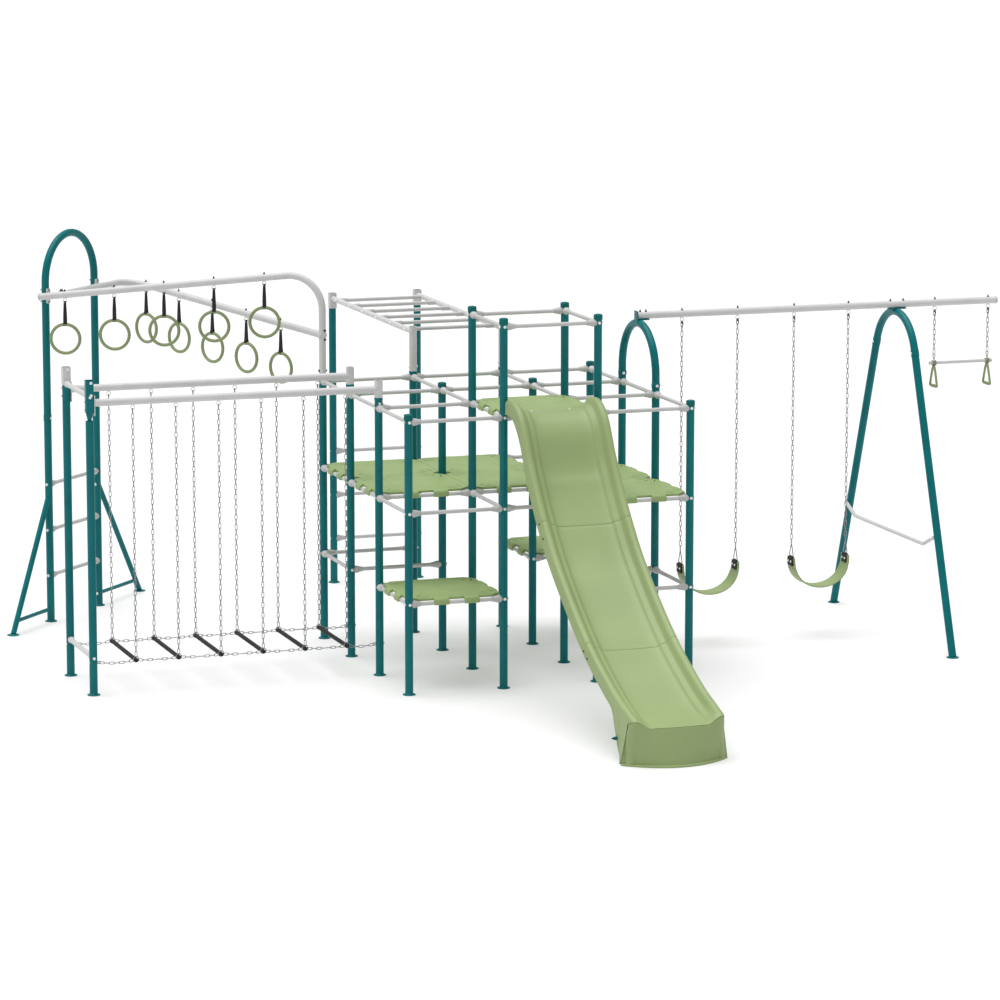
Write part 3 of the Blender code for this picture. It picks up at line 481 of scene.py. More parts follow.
def rails_and_sockets(batch, edges, height):
    """Rails between posts with their moulded ends, and a bolt head wherever a post's far side is free."""
    ends = {}
    for a, b in edges:
        start, stop = at(*a, height), at(*b, height)
        way = (stop - start).normalized()
        tube(batch("tubes", GREY), start + way * 0.030, stop - way * 0.030, RAIL_R, 20)
        for spot, inward in ((a, way), (b, -way)):
            socket(batch("sockets", SOCKET if abs(way.x) > 0.5 else GREY), at(*spot, height), inward, POST_R)
            ends.setdefault(spot, []).append(inward)
    for spot, ways in ends.items():
        for way in ways:
            if all((other + way).length > 0.1 for other in ways):
                bolt(batch("bolts", BOLT), at(*spot, height) - way * POST_R, -way)


def build_climber():
    for i, j in LOW_POSTS:
        node = f"post_{i}_{j}"
        batch = Batch(node, nodes=(node,))
        capped = (i, j) not in JOINED_POSTS
        foot(batch("foot", TEAL), at(i, j))
        top = SADDLE_Z if (i, j) in SADDLE_POSTS else top_of(node) - (CAP_RISE if capped else 0.0)
        tip = at(i, j, top - (0.003 if capped else 0.0))
        tube(batch("tube", TEAL), at(i, j, POST_START), tip, POST_R, ROUND_SIDES)
        if capped:
            post_cap(batch("cap", TEAL_CAP), at(i, j, top))
        else:
            wide = POST_R + 0.0018
            profile = [(POST_R, 0), (wide, 0.0015), (wide, 0.016), (POST_R, 0.019)]
            turned(batch("tube", TEAL), at(i, j, top), -UP, profile, ROUND_SIDES)
        batch.done()
    tower = Batch("tower", nodes=("tower_frame",))
    for i, j in TALL_POSTS:
        top = top_of("tower_frame") - CAP_RISE
        foot(tower("posts", TEAL), at(i, j))
        tube(tower("posts", TEAL), at(i, j, POST_START), at(i, j, top - 0.003), POST_R, ROUND_SIDES)
        post_cap(tower("caps", TEAL_CAP), at(i, j, top))
    rails_and_sockets(tower, lattice_edges(3), LEVEL_Z[3])
    tower.done()
    for level, nodes in enumerate((LEVEL_1_NODES, ("level_2_rails",), ("level_3_rails",))):
        batch = Batch(f"level_{level + 1}", nodes=nodes)
        rails_and_sockets(batch, lattice_edges(level), LEVEL_Z[level])
        batch.done()


# ---------------------------------------------------------------- decks
TABS = (0.34, 0.66)         # middles of a panel side's two tabs, as shares of the cell
TAB_WIDTH = 0.095
PANEL_CUT = 0.066           # how much of a panel's corner is cut away for the post
# edge of a panel from its underside up: (height over the rails' axis, inset from the grid line)
PANEL_LEVELS = ((0.0142, 0.016), (0.0142, 0.010), (0.0170, 0.007), (0.0270, 0.007), (0.0298, 0.009),
                (0.0310, 0.014))
SIDES = ((-1, 0), (1, 0), (0, -1), (0, 1))
SLOT_ANGLES = (22, 45, 68)  # the drain slots fan out from each corner
SLOT_START, SLOT_LENGTH, SLOT_R = 0.105, 0.050, 0.0036

# side view of a tab that hooks over a rail, as (outward, height) from the rail's axis
TAB_PROFILE = ((-0.034, 0.031), (-0.006, 0.0305), (0.005, 0.0285), (0.013, 0.0230), (0.0180, 0.0150),
               (0.0198, 0.0040), (0.0195, -0.0100), (0.0175, -0.0125), (0.0150, -0.0115), (0.0150, 0.0030),
               (0.0125, 0.0100), (0.0060, 0.0138), (-0.006, 0.0142), (-0.034, 0.0142))


def add_tab(bm, middle_point, along, outward):
    half = TAB_WIDTH / 2
    loops = []
    for distance, pull in ((-half, 0.004), (-half + 0.004, 0.0008), (-half + 0.010, 0.0), (half - 0.010, 0.0),
                           (half - 0.004, 0.0008), (half, 0.004)):
        loops.append([middle_point + along * distance + outward * (u - (pull if u > 0 else 0)) + UP * z
                      for u, z in TAB_PROFILE])
    loft(bm, loops)


def panel_outline(inset, cut, joined):
    """Outline of a panel's body, its corners cut on a slant; a joined side reaches to its neighbour."""
    seam = inset * 0.2 + 0.0002
    left, right, front, back = (seam if side in joined else inset for side in SIDES)
    right, back = CELL - right, CELL - back
    corners = [Vector((x, y, 0)) for x, y in (
        (cut, front), (CELL - cut, front), (right, cut), (right, CELL - cut), (CELL - cut, back), (cut, back),
        (left, CELL - cut), (left, cut))]
    return rounded(corners, 0.018, 4, cyclic=True)


def build_panel(name, i, j, height, neighbours):
    """One moulded deck panel: a body with a rolled edge, drain slots by its corners, tabs over the rails."""
    corner = at(i, j, height)
    bm = bmesh.new()
    joined = [(di, dj) for di, dj in SIDES if (i + di, j + dj) in neighbours]
    loft(bm, [[corner + p + UP * z for p in panel_outline(inset, PANEL_CUT, joined)]
              for z, inset in PANEL_LEVELS])
    obj = piece(name, bm, DECK_GREEN)
    slots = bmesh.new()
    for cx, cy in ((0, 0), (1, 0), (0, 1), (1, 1)):
        for angle in SLOT_ANGLES:
            u = Vector((math.cos(math.radians(angle)), math.sin(math.radians(angle)), 0))
            u = Vector((u.x * (1 - 2 * cx), u.y * (1 - 2 * cy), 0))
            near = corner + Vector((cx * CELL, cy * CELL, 0)) + u * SLOT_START
            v = UP.cross(u)
            far = near + u * SLOT_LENGTH
            outline = arc(near, -v, -u, SLOT_R, 0, 180, 5) + arc(far, v, u, SLOT_R, 0, 180, 5)
            loft(slots, [[p + UP * z for p in outline] for z in (0.0, 0.045)])
    cutter = bpy.data.objects.new(f"{name}_slots", bpy.data.meshes.new(f"{name}_slots"))
    slots.to_mesh(cutter.data)
    slots.free()
    bpy.context.scene.collection.objects.link(cutter)
    modifier = obj.modifiers.new("slots", "BOOLEAN")
    modifier.operation = "DIFFERENCE"
    modifier.object = cutter
    modifier.solver = "EXACT"
    bpy.context.view_layer.update()
    cut = bpy.data.meshes.new_from_object(obj.evaluated_get(bpy.context.evaluated_depsgraph_get()))
    obj.modifiers.clear()
    obj.data = cut
    obj.data.shade_smooth()
    obj.data.set_sharp_from_angle(angle=math.radians(SHARP_ANGLE))
    bpy.data.objects.remove(cutter)
    tabs = bmesh.new()
    start = corner.copy()
    for along, outward, side in ((X_AXIS, -Y_AXIS, (0, -1)), (Y_AXIS, X_AXIS, (1, 0)),
                                 (-X_AXIS, Y_AXIS, (0, 1)), (-Y_AXIS, -X_AXIS, (-1, 0))):
        if side not in joined:
            for share in TABS:
                add_tab(tabs, start + along * share * CELL, along, outward)
        start += along * CELL
    piece(f"{name}_tabs", tabs, DECK_GREEN)
    return obj


def build_decks():
    for node, (level, cells) in DECK_NODES.items():
        for i, j in cells:
            obj = build_panel(f"{node}_panel_{i}_{j}", i, j, LEVEL_Z[level], cells)
        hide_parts(node)


# ---------------------------------------------------------------- monkey bars
MONKEY_Z = top_of("monkey_ladder") - 0.0366     # centre of the overhead rails
MONKEY_FIRST = 0.22 * CELL                      # first rung behind the uprights
MONKEY_STEP = 0.512 * CELL
LADDER_RUNGS = (0.51 * CELL, 1.01 * CELL, 1.51 * CELL)


def build_monkey_bars():
    ladder = Batch("monkey_bars", nodes=("monkey_ladder",))
    top = top_of("monkey_ladder")
    for i, side in LADDER_SIDES:
        out = X_AXIS * side
        base = at(i, 3, LOW_TOP + TOUCH_GAP)
        open_tube(ladder("uprights", WHITE), base, at(i, 3, top), POST_R, sides=ROUND_SIDES)
        start, stop = at(i, 3, MONKEY_Z), at(i, 6, MONKEY_Z)
        far = stop - Y_AXIS * (POST_R + 0.001)
        tube(ladder("rails", WHITE), start + Y_AXIS * 0.010, far, MONKEY_RAIL_R, 28)
        for way in (X_AXIS, -X_AXIS):
            bolt(ladder("bolts", BOLT), at(i, 3, LOW_TOP + 0.03) + way * POST_R, way)
        for k in range(6):
            spot = start + Y_AXIS * (MONKEY_FIRST + MONKEY_STEP * k)
            socket(ladder("sockets", GREY), spot, -out, MONKEY_RAIL_R, 0.050, 0.0165)
            bolt(ladder("bolts", BOLT), spot + out * MONKEY_RAIL_R, out, SMALL_BOLT_R)
    for k in range(6):
        left = at(1, 3, MONKEY_Z) + Y_AXIS * (MONKEY_FIRST + MONKEY_STEP * k)
        tube(ladder("rungs", GREY), left + X_AXIS * 0.012, left + X_AXIS * (CELL - 0.012), RAIL_R, 20)
    ladder.done()
    end = Batch("monkey_end", nodes=("monkey_end_frame",))
    top = top_of("monkey_end_frame")
    for i, side in LADDER_SIDES:
        out = X_AXIS * side
        foot(end("posts", TEAL), at(i, 6))
        tube(end("posts", TEAL), at(i, 6, POST_START), at(i, 6, top - 0.03), POST_R, ROUND_SIDES)
        bracket(end("sleeves", WHITE), at(i, 6, top - 0.104), top)
        for drop in (0.020, 0.085):
            bolt(end("bolts", BOLT), at(i, 6, top - drop) + out * BRACKET_HALF, out, 0.005)
        for z in LADDER_RUNGS:
            socket(end("sockets", SOCKET), at(i, 6, z), -out, POST_R)
            bolt(end("bolts", BOLT), at(i, 6, z) + out * POST_R, out)
    for z in LADDER_RUNGS:
        tube(end("rungs", GREY), at(1, 6, z) + X_AXIS * 0.03, at(2, 6, z) - X_AXIS * 0.03, RAIL_R, 20)
    end.done()


# ---------------------------------------------------------------- chain step bridge
STEP_PIVOTS = [pivot(f"step_{k}_sway") for k in range(1, 7)]
BRIDGE_BEAM_Z = STEP_PIVOTS[0].z + HOOK_EYE + BEAM_R
STEP_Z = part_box("chain_step_1")[0].z + 0.013
BRIDGE_POSTS = ((-3, 1), (-3, 2))
SADDLE_POSTS = ((0, 1), (0, 2))
SADDLE_Z = LOW_TOP + 0.026           # the two middle posts reach up to their saddles
BRIDGE_JOINT_Z = 2.78 * CELL        # where the front post ends and its extension plugs in


def build_bridge():
    frame_top = top_of("bridge_frame") - CAP_RISE
    batch = Batch("bridge", nodes=("bridge_frame",))
    for (i, j), front in zip(BRIDGE_POSTS, (True, False)):
        foot(batch("posts", TEAL), at(i, j))
        if front:
            # a squared extension, whose narrowed lower end plugs into the open post
            joint = at(i, j, BRIDGE_JOINT_Z)
            base = at(i, j, POST_START)
            open_tube(batch("posts", TEAL), base, joint, POST_R, depth=0.02, sides=ROUND_SIDES)
            bracket(batch("brackets", TEAL), at(i, j, BRIDGE_JOINT_Z + 0.050), frame_top, 0.0245)
            turned(batch("brackets", TEAL), at(i, j, BRIDGE_JOINT_Z - 0.015), UP,
                   [(0.013, 0), (0.013, 0.022), (0.0235, 0.066), (0.0235, 0.070)], 24)
        else:
            tube(batch("posts", TEAL), at(i, j, POST_START), at(i, j, frame_top - 0.10), POST_R, ROUND_SIDES)
            bracket(batch("sleeves", WHITE), at(i, j, frame_top - 0.111), frame_top)
        for z in (frame_top - 0.016, frame_top - 0.092):
            bolt(batch("bolts", BOLT), at(i, j, z) - Y_AXIS * BRACKET_HALF + X_AXIS * 0.006, -Y_AXIS)
        for z in (BRIDGE_BEAM_Z + 0.009, BRIDGE_BEAM_Z - 0.040):
            bolt(batch("bolts", ZINC), at(i, j, z) - X_AXIS * 0.0250, -X_AXIS, 0.0052)
        plate = at(i, j, BRIDGE_BEAM_Z - 0.016) + X_AXIS * (POST_R + 0.004)
        block(batch("plates", WHITE), plate, (0.006, 0.046, 0.125), edge=0.001)
        start = at(i, j, BRIDGE_BEAM_Z) + X_AXIS * (POST_R + 0.005)
        tube(batch("beams", WHITE), start, at(0, j, BRIDGE_BEAM_Z) - X_AXIS * 0.015, BEAM_R, 28)
        bracket(batch("saddles", WHITE), at(0, j, SADDLE_Z + TOUCH_GAP), BRIDGE_BEAM_Z + 0.056, 0.0222)
        for way in (-Y_AXIS, X_AXIS):
            bolt(batch("bolts", BOLT), at(0, j, LOW_TOP - 0.010) + way * POST_R, way, SMALL_BOLT_R)
        for p in STEP_PIVOTS:
            hanger(batch, Vector((p.x, at(0, j).y, BRIDGE_BEAM_Z - BEAM_R)), BEAM_R, False)
    for z in (0.38 * CELL, 3.02 * CELL):
        start, stop = at(-3, 1, z), at(-3, 2, z)
        tube(batch("cross_tubes", WHITE), start + Y_AXIS * 0.02, stop - Y_AXIS * 0.02, RAIL_R * 1.3, 20)
        for spot, way in ((start, Y_AXIS), (stop, -Y_AXIS)):
            socket(batch("sockets", WHITE), spot, way, POST_R, 0.045, 0.021)
            bolt(batch("bolts", BOLT), spot - way * POST_R, -way)
    for j in (1, 2):
        for i, way in ((-3, X_AXIS), (0, -X_AXIS)):
            spot = at(i, j, STEP_Z)
            wire_ring(batch("chain_eyes", ZINC), spot + way * (POST_R + 0.010), X_AXIS, UP, 0.009, 16, 0.0026)
            bolt(batch("bolts", BOLT), spot - way * POST_R, -way)
    batch.done()
    for k, p in enumerate(STEP_PIVOTS):
        build_step(k, p)
    for j in (1, 2):
        for name, i, way, k in (("left", -3, X_AXIS, 0), ("right", 0, -X_AXIS, 5)):
            start = at(i, j, STEP_Z) + way * (POST_R + 0.012)
            end = Vector((STEP_PIVOTS[k].x, at(0, j).y, STEP_Z)) - way * 0.012
            bm = bmesh.new()
            chain(bm, start, end, 0.010)
            obj = piece(f"end_chain_{name}_{j}", bm, ZINC)
            obj.parent = None
            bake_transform(obj)


def build_step(k, p):
    """A ribbed foot bar with end caps, its two hanging chains, and half of the chain to each neighbour."""
    node = f"chain_step_{k + 1}"
    batch = Batch(node, f"step_{k + 1}", (node,))
    y0, y1 = at(0, 1).y, at(0, 2).y
    a, b = Vector((p.x, y0, STEP_Z)), Vector((p.x, y1, STEP_Z))
    profile = [(0.009, -0.014), (0.0125, -0.012), (0.0135, -0.008), (0.0135, 0.016), (0.0115, 0.018)]
    length = y1 - y0
    ribs = 34
    grip_from, grip_to = 0.030, length - 0.030
    step = (grip_to - grip_from) / ribs
    for n in range(ribs):
        s = grip_from + n * step
        for radius, share in ((0.0118, 0.0), (0.0134, 0.2), (0.0134, 0.75), (0.0118, 0.95)):
            profile.append((radius, s + step * share))
    profile += [(0.0115, length - 0.018), (0.0135, length - 0.016), (0.0135, length + 0.008),
                (0.0125, length + 0.012), (0.009, length + 0.014)]
    turned(batch("bar", RUBBER), a, Y_AXIS, profile, 24)
    for spot in (a, b):
        wire_ring(batch("chains", ZINC), spot + UP * 0.004, X_AXIS, UP, 0.0175, 20, 0.0026)
        chain(batch("chains", ZINC), Vector((spot.x, spot.y, p.z - 0.002)), spot + UP * 0.019, across=X_AXIS)
        half = (STEP_PIVOTS[1].x - STEP_PIVOTS[0].x) / 2
        for way, exists in ((-X_AXIS, k > 0), (X_AXIS, k < 5)):
            if exists:
                chain(batch("links", ZINC), spot + way * 0.013, spot + way * half - UP * 0.004, 0.002)
    batch.done()


# ---------------------------------------------------------------- ring trek
RING_LEGS = ((-2.554, 4.828), (-1.848, 5.538))
BRACE_FEET = ((-3.110, 4.210), (-1.217, 6.215))
RING_CLAMP_Z = 3.560 * CELL
BRACE_HEAD_Z = 1.36 * CELL
SPLICE_Z = 2.2 * CELL
RING_TWIST = (12, 5)        # degrees that the rings of each rail hang turned from its line


def arch_axes():
    left, right = (at(*leg) for leg in RING_LEGS)
    along = (right - left).normalized()
    return (left + right) / 2, along, Vector((along.y, -along.x, 0)), (right - left).length / 2


def build_ring_arch():
    centre, along, front, half = arch_axes()
    batch = Batch("ring_arch", nodes=("ring_arch",))
    spring = top_of("ring_arch") - POST_R - half
    sweep(batch("hoop", TEAL), hoop_path(centre, along, spring, half), POST_R, front, ROUND_SIDES)
    for sign in (-1, 1):
        leg = centre + along * half * sign
        foot(batch("feet", TEAL), leg)
        wide = POST_R + 0.0018
        profile = [(POST_R, 0), (wide, 0.001), (wide, 0.045), (POST_R, 0.047)]
        turned(batch("sleeves", TEAL), leg + UP * SPLICE_Z, UP, profile, ROUND_SIDES)
        bolt(batch("bolts", BOLT), leg + UP * (SPLICE_Z + 0.02) + front * (POST_R + 0.001), front)
        for z in LADDER_RUNGS:
            socket(batch("sockets", SOCKET), leg + UP * z, -along * sign, POST_R)
            bolt(batch("bolts", BOLT), leg + UP * z + along * sign * POST_R, along * sign)
    for z in LADDER_RUNGS:
        inner = along * (half - 0.03)
        tube(batch("rungs", GREY), centre - inner + UP * z, centre + inner + UP * z, RAIL_R, 20)
    for leg, toe in zip(RING_LEGS, BRACE_FEET):
        base, ground = at(*leg), at(*toe)
        head = base + UP * BRACE_HEAD_Z
        out = (ground - base).normalized()
        slant = (head - ground).normalized()
        foot(batch("feet", TEAL), ground, 0.012)
        heel = ground + UP * 0.005
        path = [heel + slant * 0.004, heel + slant * 0.03, head + out * POST_R * 0.5]
        sweep(batch("braces", TEAL), path, BRACE_R, out.cross(UP), 24)
        bolt(batch("bolts", BOLT), head + UP * 0.002 - out * POST_R, -out)
        tie_z = 0.14 * CELL
        on_brace = ground.lerp(head, tie_z / head.z)
        on_brace.z = tie_z
        tube(batch("ties", TEAL), base + UP * tie_z + out * 0.01, on_brace, RAIL_R, 20)
        bolt(batch("bolts", BOLT), base + UP * tie_z - out * POST_R, -out)
    batch.done()


def build_ring_rails():
    centre, along, front, half = arch_axes()
    points = [pivot(f"ring_{k}_swing") + UP * (RING_RAIL_R + HOOK_EYE) for k in range(1, 11)]
    fronts, backs = points[:5], points[5:]
    upright = at(0, 3)
    # front rail: up from its post, round a bend and along the line of its hooks
    way = (fronts[-1] - fronts[0]).normalized()
    back_by = (fronts[0] - upright).xy.length / way.xy.length
    bend = Vector((upright.x, upright.y, fronts[0].z - way.z * back_by))
    tip = at(*RING_LEGS[0], 0)
    run = (Vector((tip.x, tip.y)) - Vector((bend.x, bend.y))).length / way.xy.length
    end = bend + way * (run + 0.018)
    batch = Batch("ring_rail_front_fine", nodes=("ring_rail_front",))
    normal = way.cross(UP).normalized()
    path = rounded([at(0, 3, LOW_TOP + TOUCH_GAP), bend, end], 0.35 * CELL, 20)
    sweep(batch("tube", WHITE), path, RING_RAIL_R, normal, ROUND_SIDES)
    end_cap(batch("cap", GREY), end - way * 0.002, way, RING_RAIL_R, 0.008)
    for point in fronts:
        hanger(batch, point - UP * RING_RAIL_R, RING_RAIL_R)
    for side in (1, -1):
        bolt(batch("bolts", DARK), at(0, 3, LOW_TOP + 0.03) + X_AXIS * side * RING_RAIL_R, X_AXIS * side)
    leg = centre - along * half
    clamp(batch, leg + UP * RING_CLAMP_Z, front, along)
    batch.done()
    # back rail: from the side of the upright along its hooks, then round to run in front of the arch
    way = (backs[-1] - backs[0]).normalized()
    start = backs[0] - way * ((backs[0] - upright).xy.length - RING_RAIL_R * 0.6) / way.xy.length
    beside = centre + front * (POST_R + RING_RAIL_R + 0.0006)
    distance = (beside - start).dot(front) / way.dot(front)
    corner = start + way * distance
    stop = Vector((beside.x, beside.y, corner.z)) - along * (half - 0.078)
    batch = Batch("ring_rail_back_fine", nodes=("ring_rail_back",))
    normal = (corner - start).cross(stop - corner).normalized()
    path = rounded([start, corner, stop], 0.20 * CELL, 24)
    sweep(batch("tube", WHITE), path, RING_RAIL_R, normal, ROUND_SIDES)
    socket(batch("joint", WHITE), start - way * 0.02, way, 0.005, 0.05, 0.030)
    beside_way = Vector((-way.x, -way.y, 0)).normalized()
    for drop in (-0.028, 0.030):
        nut(batch("nuts", DARK), at(0, 3, start.z + drop) + beside_way * RING_RAIL_R, beside_way, SMALL_NUT_R)
    for point in backs:
        hanger(batch, point - UP * RING_RAIL_R, RING_RAIL_R)
    clamp(batch, Vector((0, 0, corner.z)) + centre + along * half, front, along)
    for shift in (0.03, 0.05):
        nut(batch("nuts", DARK), stop + along * shift + UP * RING_RAIL_R, UP, SMALL_NUT_R)
    batch.done()


def clamp(batch, spot, front, along):
    """White saddle between an arch leg and a ring rail, with a bolt above and below the rail."""
    base = spot + front * POST_R * 0.75
    block(batch("clamps", WHITE), base, (0.038, 0.020, 0.098), along, front, 0.004)
    for side in (-1, 1):
        bolt(batch("bolts", ZINC), base + UP * side * 0.039 + front * 0.010, front, SMALL_BOLT_R)
        nut(batch("nuts", ZINC), spot + UP * side * 0.039 - front * POST_R, -front, SMALL_NUT_R)


def build_rings():
    """Hand rings with a webbing loop over the tube, spread where it wraps the ring."""
    for k in range(1, 11):
        joint = JOINTS[f"ring_{k}_swing"]
        eye = Vector(joint["pos_m"])
        facing = Vector(joint["axis"]).normalized()
        facing = Matrix.Rotation(math.radians(RING_TWIST[k > 5]), 3, "Z") @ facing
        along = UP.cross(facing).normalized()
        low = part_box(f"hand_ring_{k}")[0].z
        centre = Vector((eye.x, eye.y, low + RING_R + RING_TUBE_R - 0.0005))
        batch = Batch(f"ring_{k}", f"ring_{k}", (f"hand_ring_{k}",))
        loops = []
        sides, around = 56, 14
        for n in range(sides):
            angle = 2 * math.pi * n / sides
            out = along * math.cos(angle) + UP * math.sin(angle)
            ridge = 0.0004 * math.cos(angle * 28)
            loops.append(circle(centre + out * RING_R, facing, out, RING_TUBE_R + ridge, around))
        loft(batch("hoop", RING_GREEN), loops, cyclic=True)
        top = centre + UP * RING_R
        width = 0.012
        for side in (-1, 1):
            path = [eye + UP * 0.002 + facing * side * 0.0022, eye - UP * 0.02 + facing * side * 0.0030]
            path += [eye.lerp(top, 0.55) + facing * side * 0.0035, top + UP * 0.028 + facing * side * 0.0060]
            path += [top + UP * 0.004 + facing * side * 0.0108, top - UP * 0.008 + facing * side * 0.0070]
            path.append(top - UP * 0.0112)
            loops = []
            for n, point in enumerate(path):
                before, after = path[max(n - 1, 0)], path[min(n + 1, len(path) - 1)]
                out = (after - before).normalized().cross(along) * 0.0011
                w = width * (0.72 if n < 2 else 1.0)
                loops.append([point - along * w - out, point + along * w - out,
                              point + along * w + out, point - along * w + out])
            loft(batch("strap", STRAP), loops)
        block(batch("strap", STRAP), top + UP * 0.036, (0.026, 0.012, 0.012), along, facing, 0.002)
        batch.done()


# ---------------------------------------------------------------- slide
SLIDE_X = middle("slide_middle").x
SLIDE_HALF = (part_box("slide_middle")[1].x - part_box("slide_middle")[0].x) / 2
SLIDE_SEAMS = (-1.17, -2.445)       # at the rims; the cuts run back square to the slope
SEAM_REACH = 0.30           # how far from a seam the cross-sections lean, in cells
SEAM_GAP = 0.0012           # between two pieces, in cells
CUT_EDGE = ((0.0, 0.0018), (0.002, 0.0006), (0.005, 0.0))   # (cells from a cut, how far it is rounded down)
SLIDE_FRONT = -3.72
# side view in cells from the first post: the rim, and how far the skirt hangs under it
RIM = ((-0.055, 2.945), (-0.28, 2.945), (-0.50, 2.800), (-0.74, 2.430), (-1.10, 1.985), (-1.55, 1.550),
       (-2.40, 0.970), (-3.15, 0.620), (-3.60, 0.480), (-3.72, 0.450))
SKIRT_DROP = ((-0.055, 0.140), (-0.28, 0.160), (-0.50, 0.210), (-0.74, 0.230), (-1.10, 0.215),
              (-1.55, 0.170), (-2.40, 0.155), (-3.15, 0.150), (-3.27, 0.160))


def smooth_line(knots, y):
    """Height at y of a smooth curve through (y, z) knots."""
    slopes = []
    for k in range(len(knots)):
        before, after = knots[max(k - 1, 0)], knots[min(k + 1, len(knots) - 1)]
        slopes.append((after[1] - before[1]) / (after[0] - before[0]))
    k = 0
    while k < len(knots) - 2 and knots[k + 1][0] > y:
        k += 1
    (y0, z0), (y1, z1) = knots[k], knots[k + 1]
    span = y1 - y0
    t = (y - y0) / span
    rise = (2 * t ** 3 - 3 * t ** 2 + 1) * z0 + (3 * t ** 2 - 2 * t ** 3) * z1
    return rise + ((t ** 3 - 2 * t ** 2 + t) * slopes[k] + (t ** 3 - t ** 2) * slopes[k + 1]) * span


# cross-section from the middle outwards: (distance, share of the side wall's height)
SECTION = ((0.000, 0.000), (0.070, 0.004), (0.125, 0.016), (0.158, 0.040), (0.171, 0.085), (0.179, 0.160),
           (0.186, 0.265), (0.192, 0.330), (0.199, 0.358), (0.208, 0.362), (0.216, 0.385), (0.223, 0.460),
           (0.231, 0.620), (0.238, 0.780), (0.245, 0.895), (0.253, 0.965), (0.263, 1.000), (0.272, 0.990),
           (0.280, 0.935), (0.2855, 0.850), (0.2885, 0.730), (0.2890, 0.600))
FOOT_LINE = ((-3.12, 0.485), (-3.20, 0.430), (-3.28, 0.270), (-3.35, 0.120), (-3.42, 0.045), (-3.55, 0.0),
             (-3.72, 0.0))
NOSE = -3.40                # from here on the base bows out towards its front
CREST = 0.263               # distance of the rims' highest line from the middle
CORNER_R = 0.036
SOFT_WALL = (0.165, CREST)  # foot and top of the side wall where it meets the front


def nose_face(x, z, corner=CORNER_R):
    """World y of the base's bowed front at an offset x from the middle and a height z."""
    bow = 1 - (x / SLIDE_HALF) ** 2
    share = min(max(z / 0.26, 0.0), 1.0)
    low, high = -3.59 - 0.24 * bow, -3.715 - 0.025 * bow
    over = min(max(abs(x) - (SLIDE_HALF - corner), 0.0), corner)
    recess = corner - math.sqrt(corner ** 2 - over ** 2)
    return at(0, low + (high - low) * share).y + recess


def flare(z):
    """How much wider than the rims the base is at a height z, as a factor."""
    return 1 + 0.028 / SLIDE_HALF * (1 - min(max(z / 0.26, 0.0), 1.0))


def slide_levels(y):
    """(height of the rim, height of the side wall over the bed, stretch of the slope) at y."""
    slope = (smooth_line(RIM, y + 0.02) - smooth_line(RIM, y - 0.02)) / 0.04
    stretch = math.sqrt(1 + slope * slope)
    ending = min(max((y - SLIDE_FRONT) / 0.30, 0.0), 1.0)
    rim = smooth_line(RIM, y) * CELL
    roll = min(max((SLIDE_FRONT + 0.09 - y) / 0.09, 0.0), 1.0)
    rim -= 0.010 * (1 - math.sqrt(1 - roll * roll))
    return rim, 0.074 * stretch * (0.56 + 0.44 * math.sqrt(ending)), stretch


def lean(y):
    """How far a cross-section's bed stands behind its rims, in cells: at a seam it is square to the slope."""
    near = max(1 - min(abs(y - seam) for seam in SLIDE_SEAMS) / SEAM_REACH, 0.0)
    _, depth, stretch = slide_levels(y)
    return near * depth / stretch * math.sqrt(1 - 1 / stretch ** 2) / CELL


def share_of(x, y):
    """Share of the side wall's height at a distance x from the middle; its step fades out at the front."""
    share = SECTION[-1][1]
    for (x0, low), (x1, high) in zip(SECTION, SECTION[1:]):
        if x <= x1:
            share = low + (high - low) * (x - x0) / (x1 - x0)
            break
    if x > SOFT_WALL[1]:
        return share
    soft = min(max((x - SOFT_WALL[0]) / (SOFT_WALL[1] - SOFT_WALL[0]), 0.0), 1.0)
    fade = min(max((NOSE - y) / (NOSE - SLIDE_FRONT), 0.0), 1.0)
    return share + (soft * soft * (3 - 2 * soft) - share) * fade


def slide_loop(y, pull=0.0):
    """Cross-section at y: rounded rims on hollow side walls, a stepped inner wall and a gently dished bed."""
    rim, depth, stretch = slide_levels(y)
    if y > -3.12:
        skirt = max(rim - smooth_line(SKIRT_DROP, y) * CELL, 0.0)
    else:
        skirt = max(smooth_line(FOOT_LINE, y) * CELL, 0.0)
    wide = SLIDE_HALF - pull
    back = lean(y)
    right = []
    for x, _ in SECTION:
        below = 1 - share_of(x, y)
        place = y + back * below
        rim_there, depth_there, _ = slide_levels(place)
        across = x if x < CREST else x - pull
        right.append((across, place, rim_there - below * depth_there - pull * stretch))
    rim_back, depth_back, _ = slide_levels(y + back)
    right += [(wide, y, skirt + 0.010), (wide + 0.002, y, skirt + 0.004), (wide + 0.002, y, skirt),
              (wide - 0.006, y, skirt), (wide - 0.008, y, skirt + 0.008)]
    for x, under in ((0.262, 0.022), (0.236, 0.026)):
        place = y + back * under * stretch / depth
        right.append((x, place, slide_levels(place)[0] - under * stretch))
    right += [(0.205, y + back, rim_back - depth_back - 0.010 * stretch),
              (0.120, y + back, rim_back - depth_back - 0.012 * stretch)]
    points = right + [(-x, place, z) for x, place, z in reversed(right) if x > 0]
    nose = at(0, NOSE).y
    if y >= NOSE:
        return [Vector((SLIDE_X + x, at(0, place).y, z)) for x, place, z in points]
    reach = (NOSE - y) / (NOSE - SLIDE_FRONT)
    return [Vector((SLIDE_X + x * (1 + (flare(z) - 1) * reach), nose + reach * (nose_face(x, z) - nose), z))
            for x, _, z in points]


def stations(first, last, step=0.025):
    count = max(round((first - last) / step), 2)
    return [first + (last - first) * k / count for k in range(count + 1)]


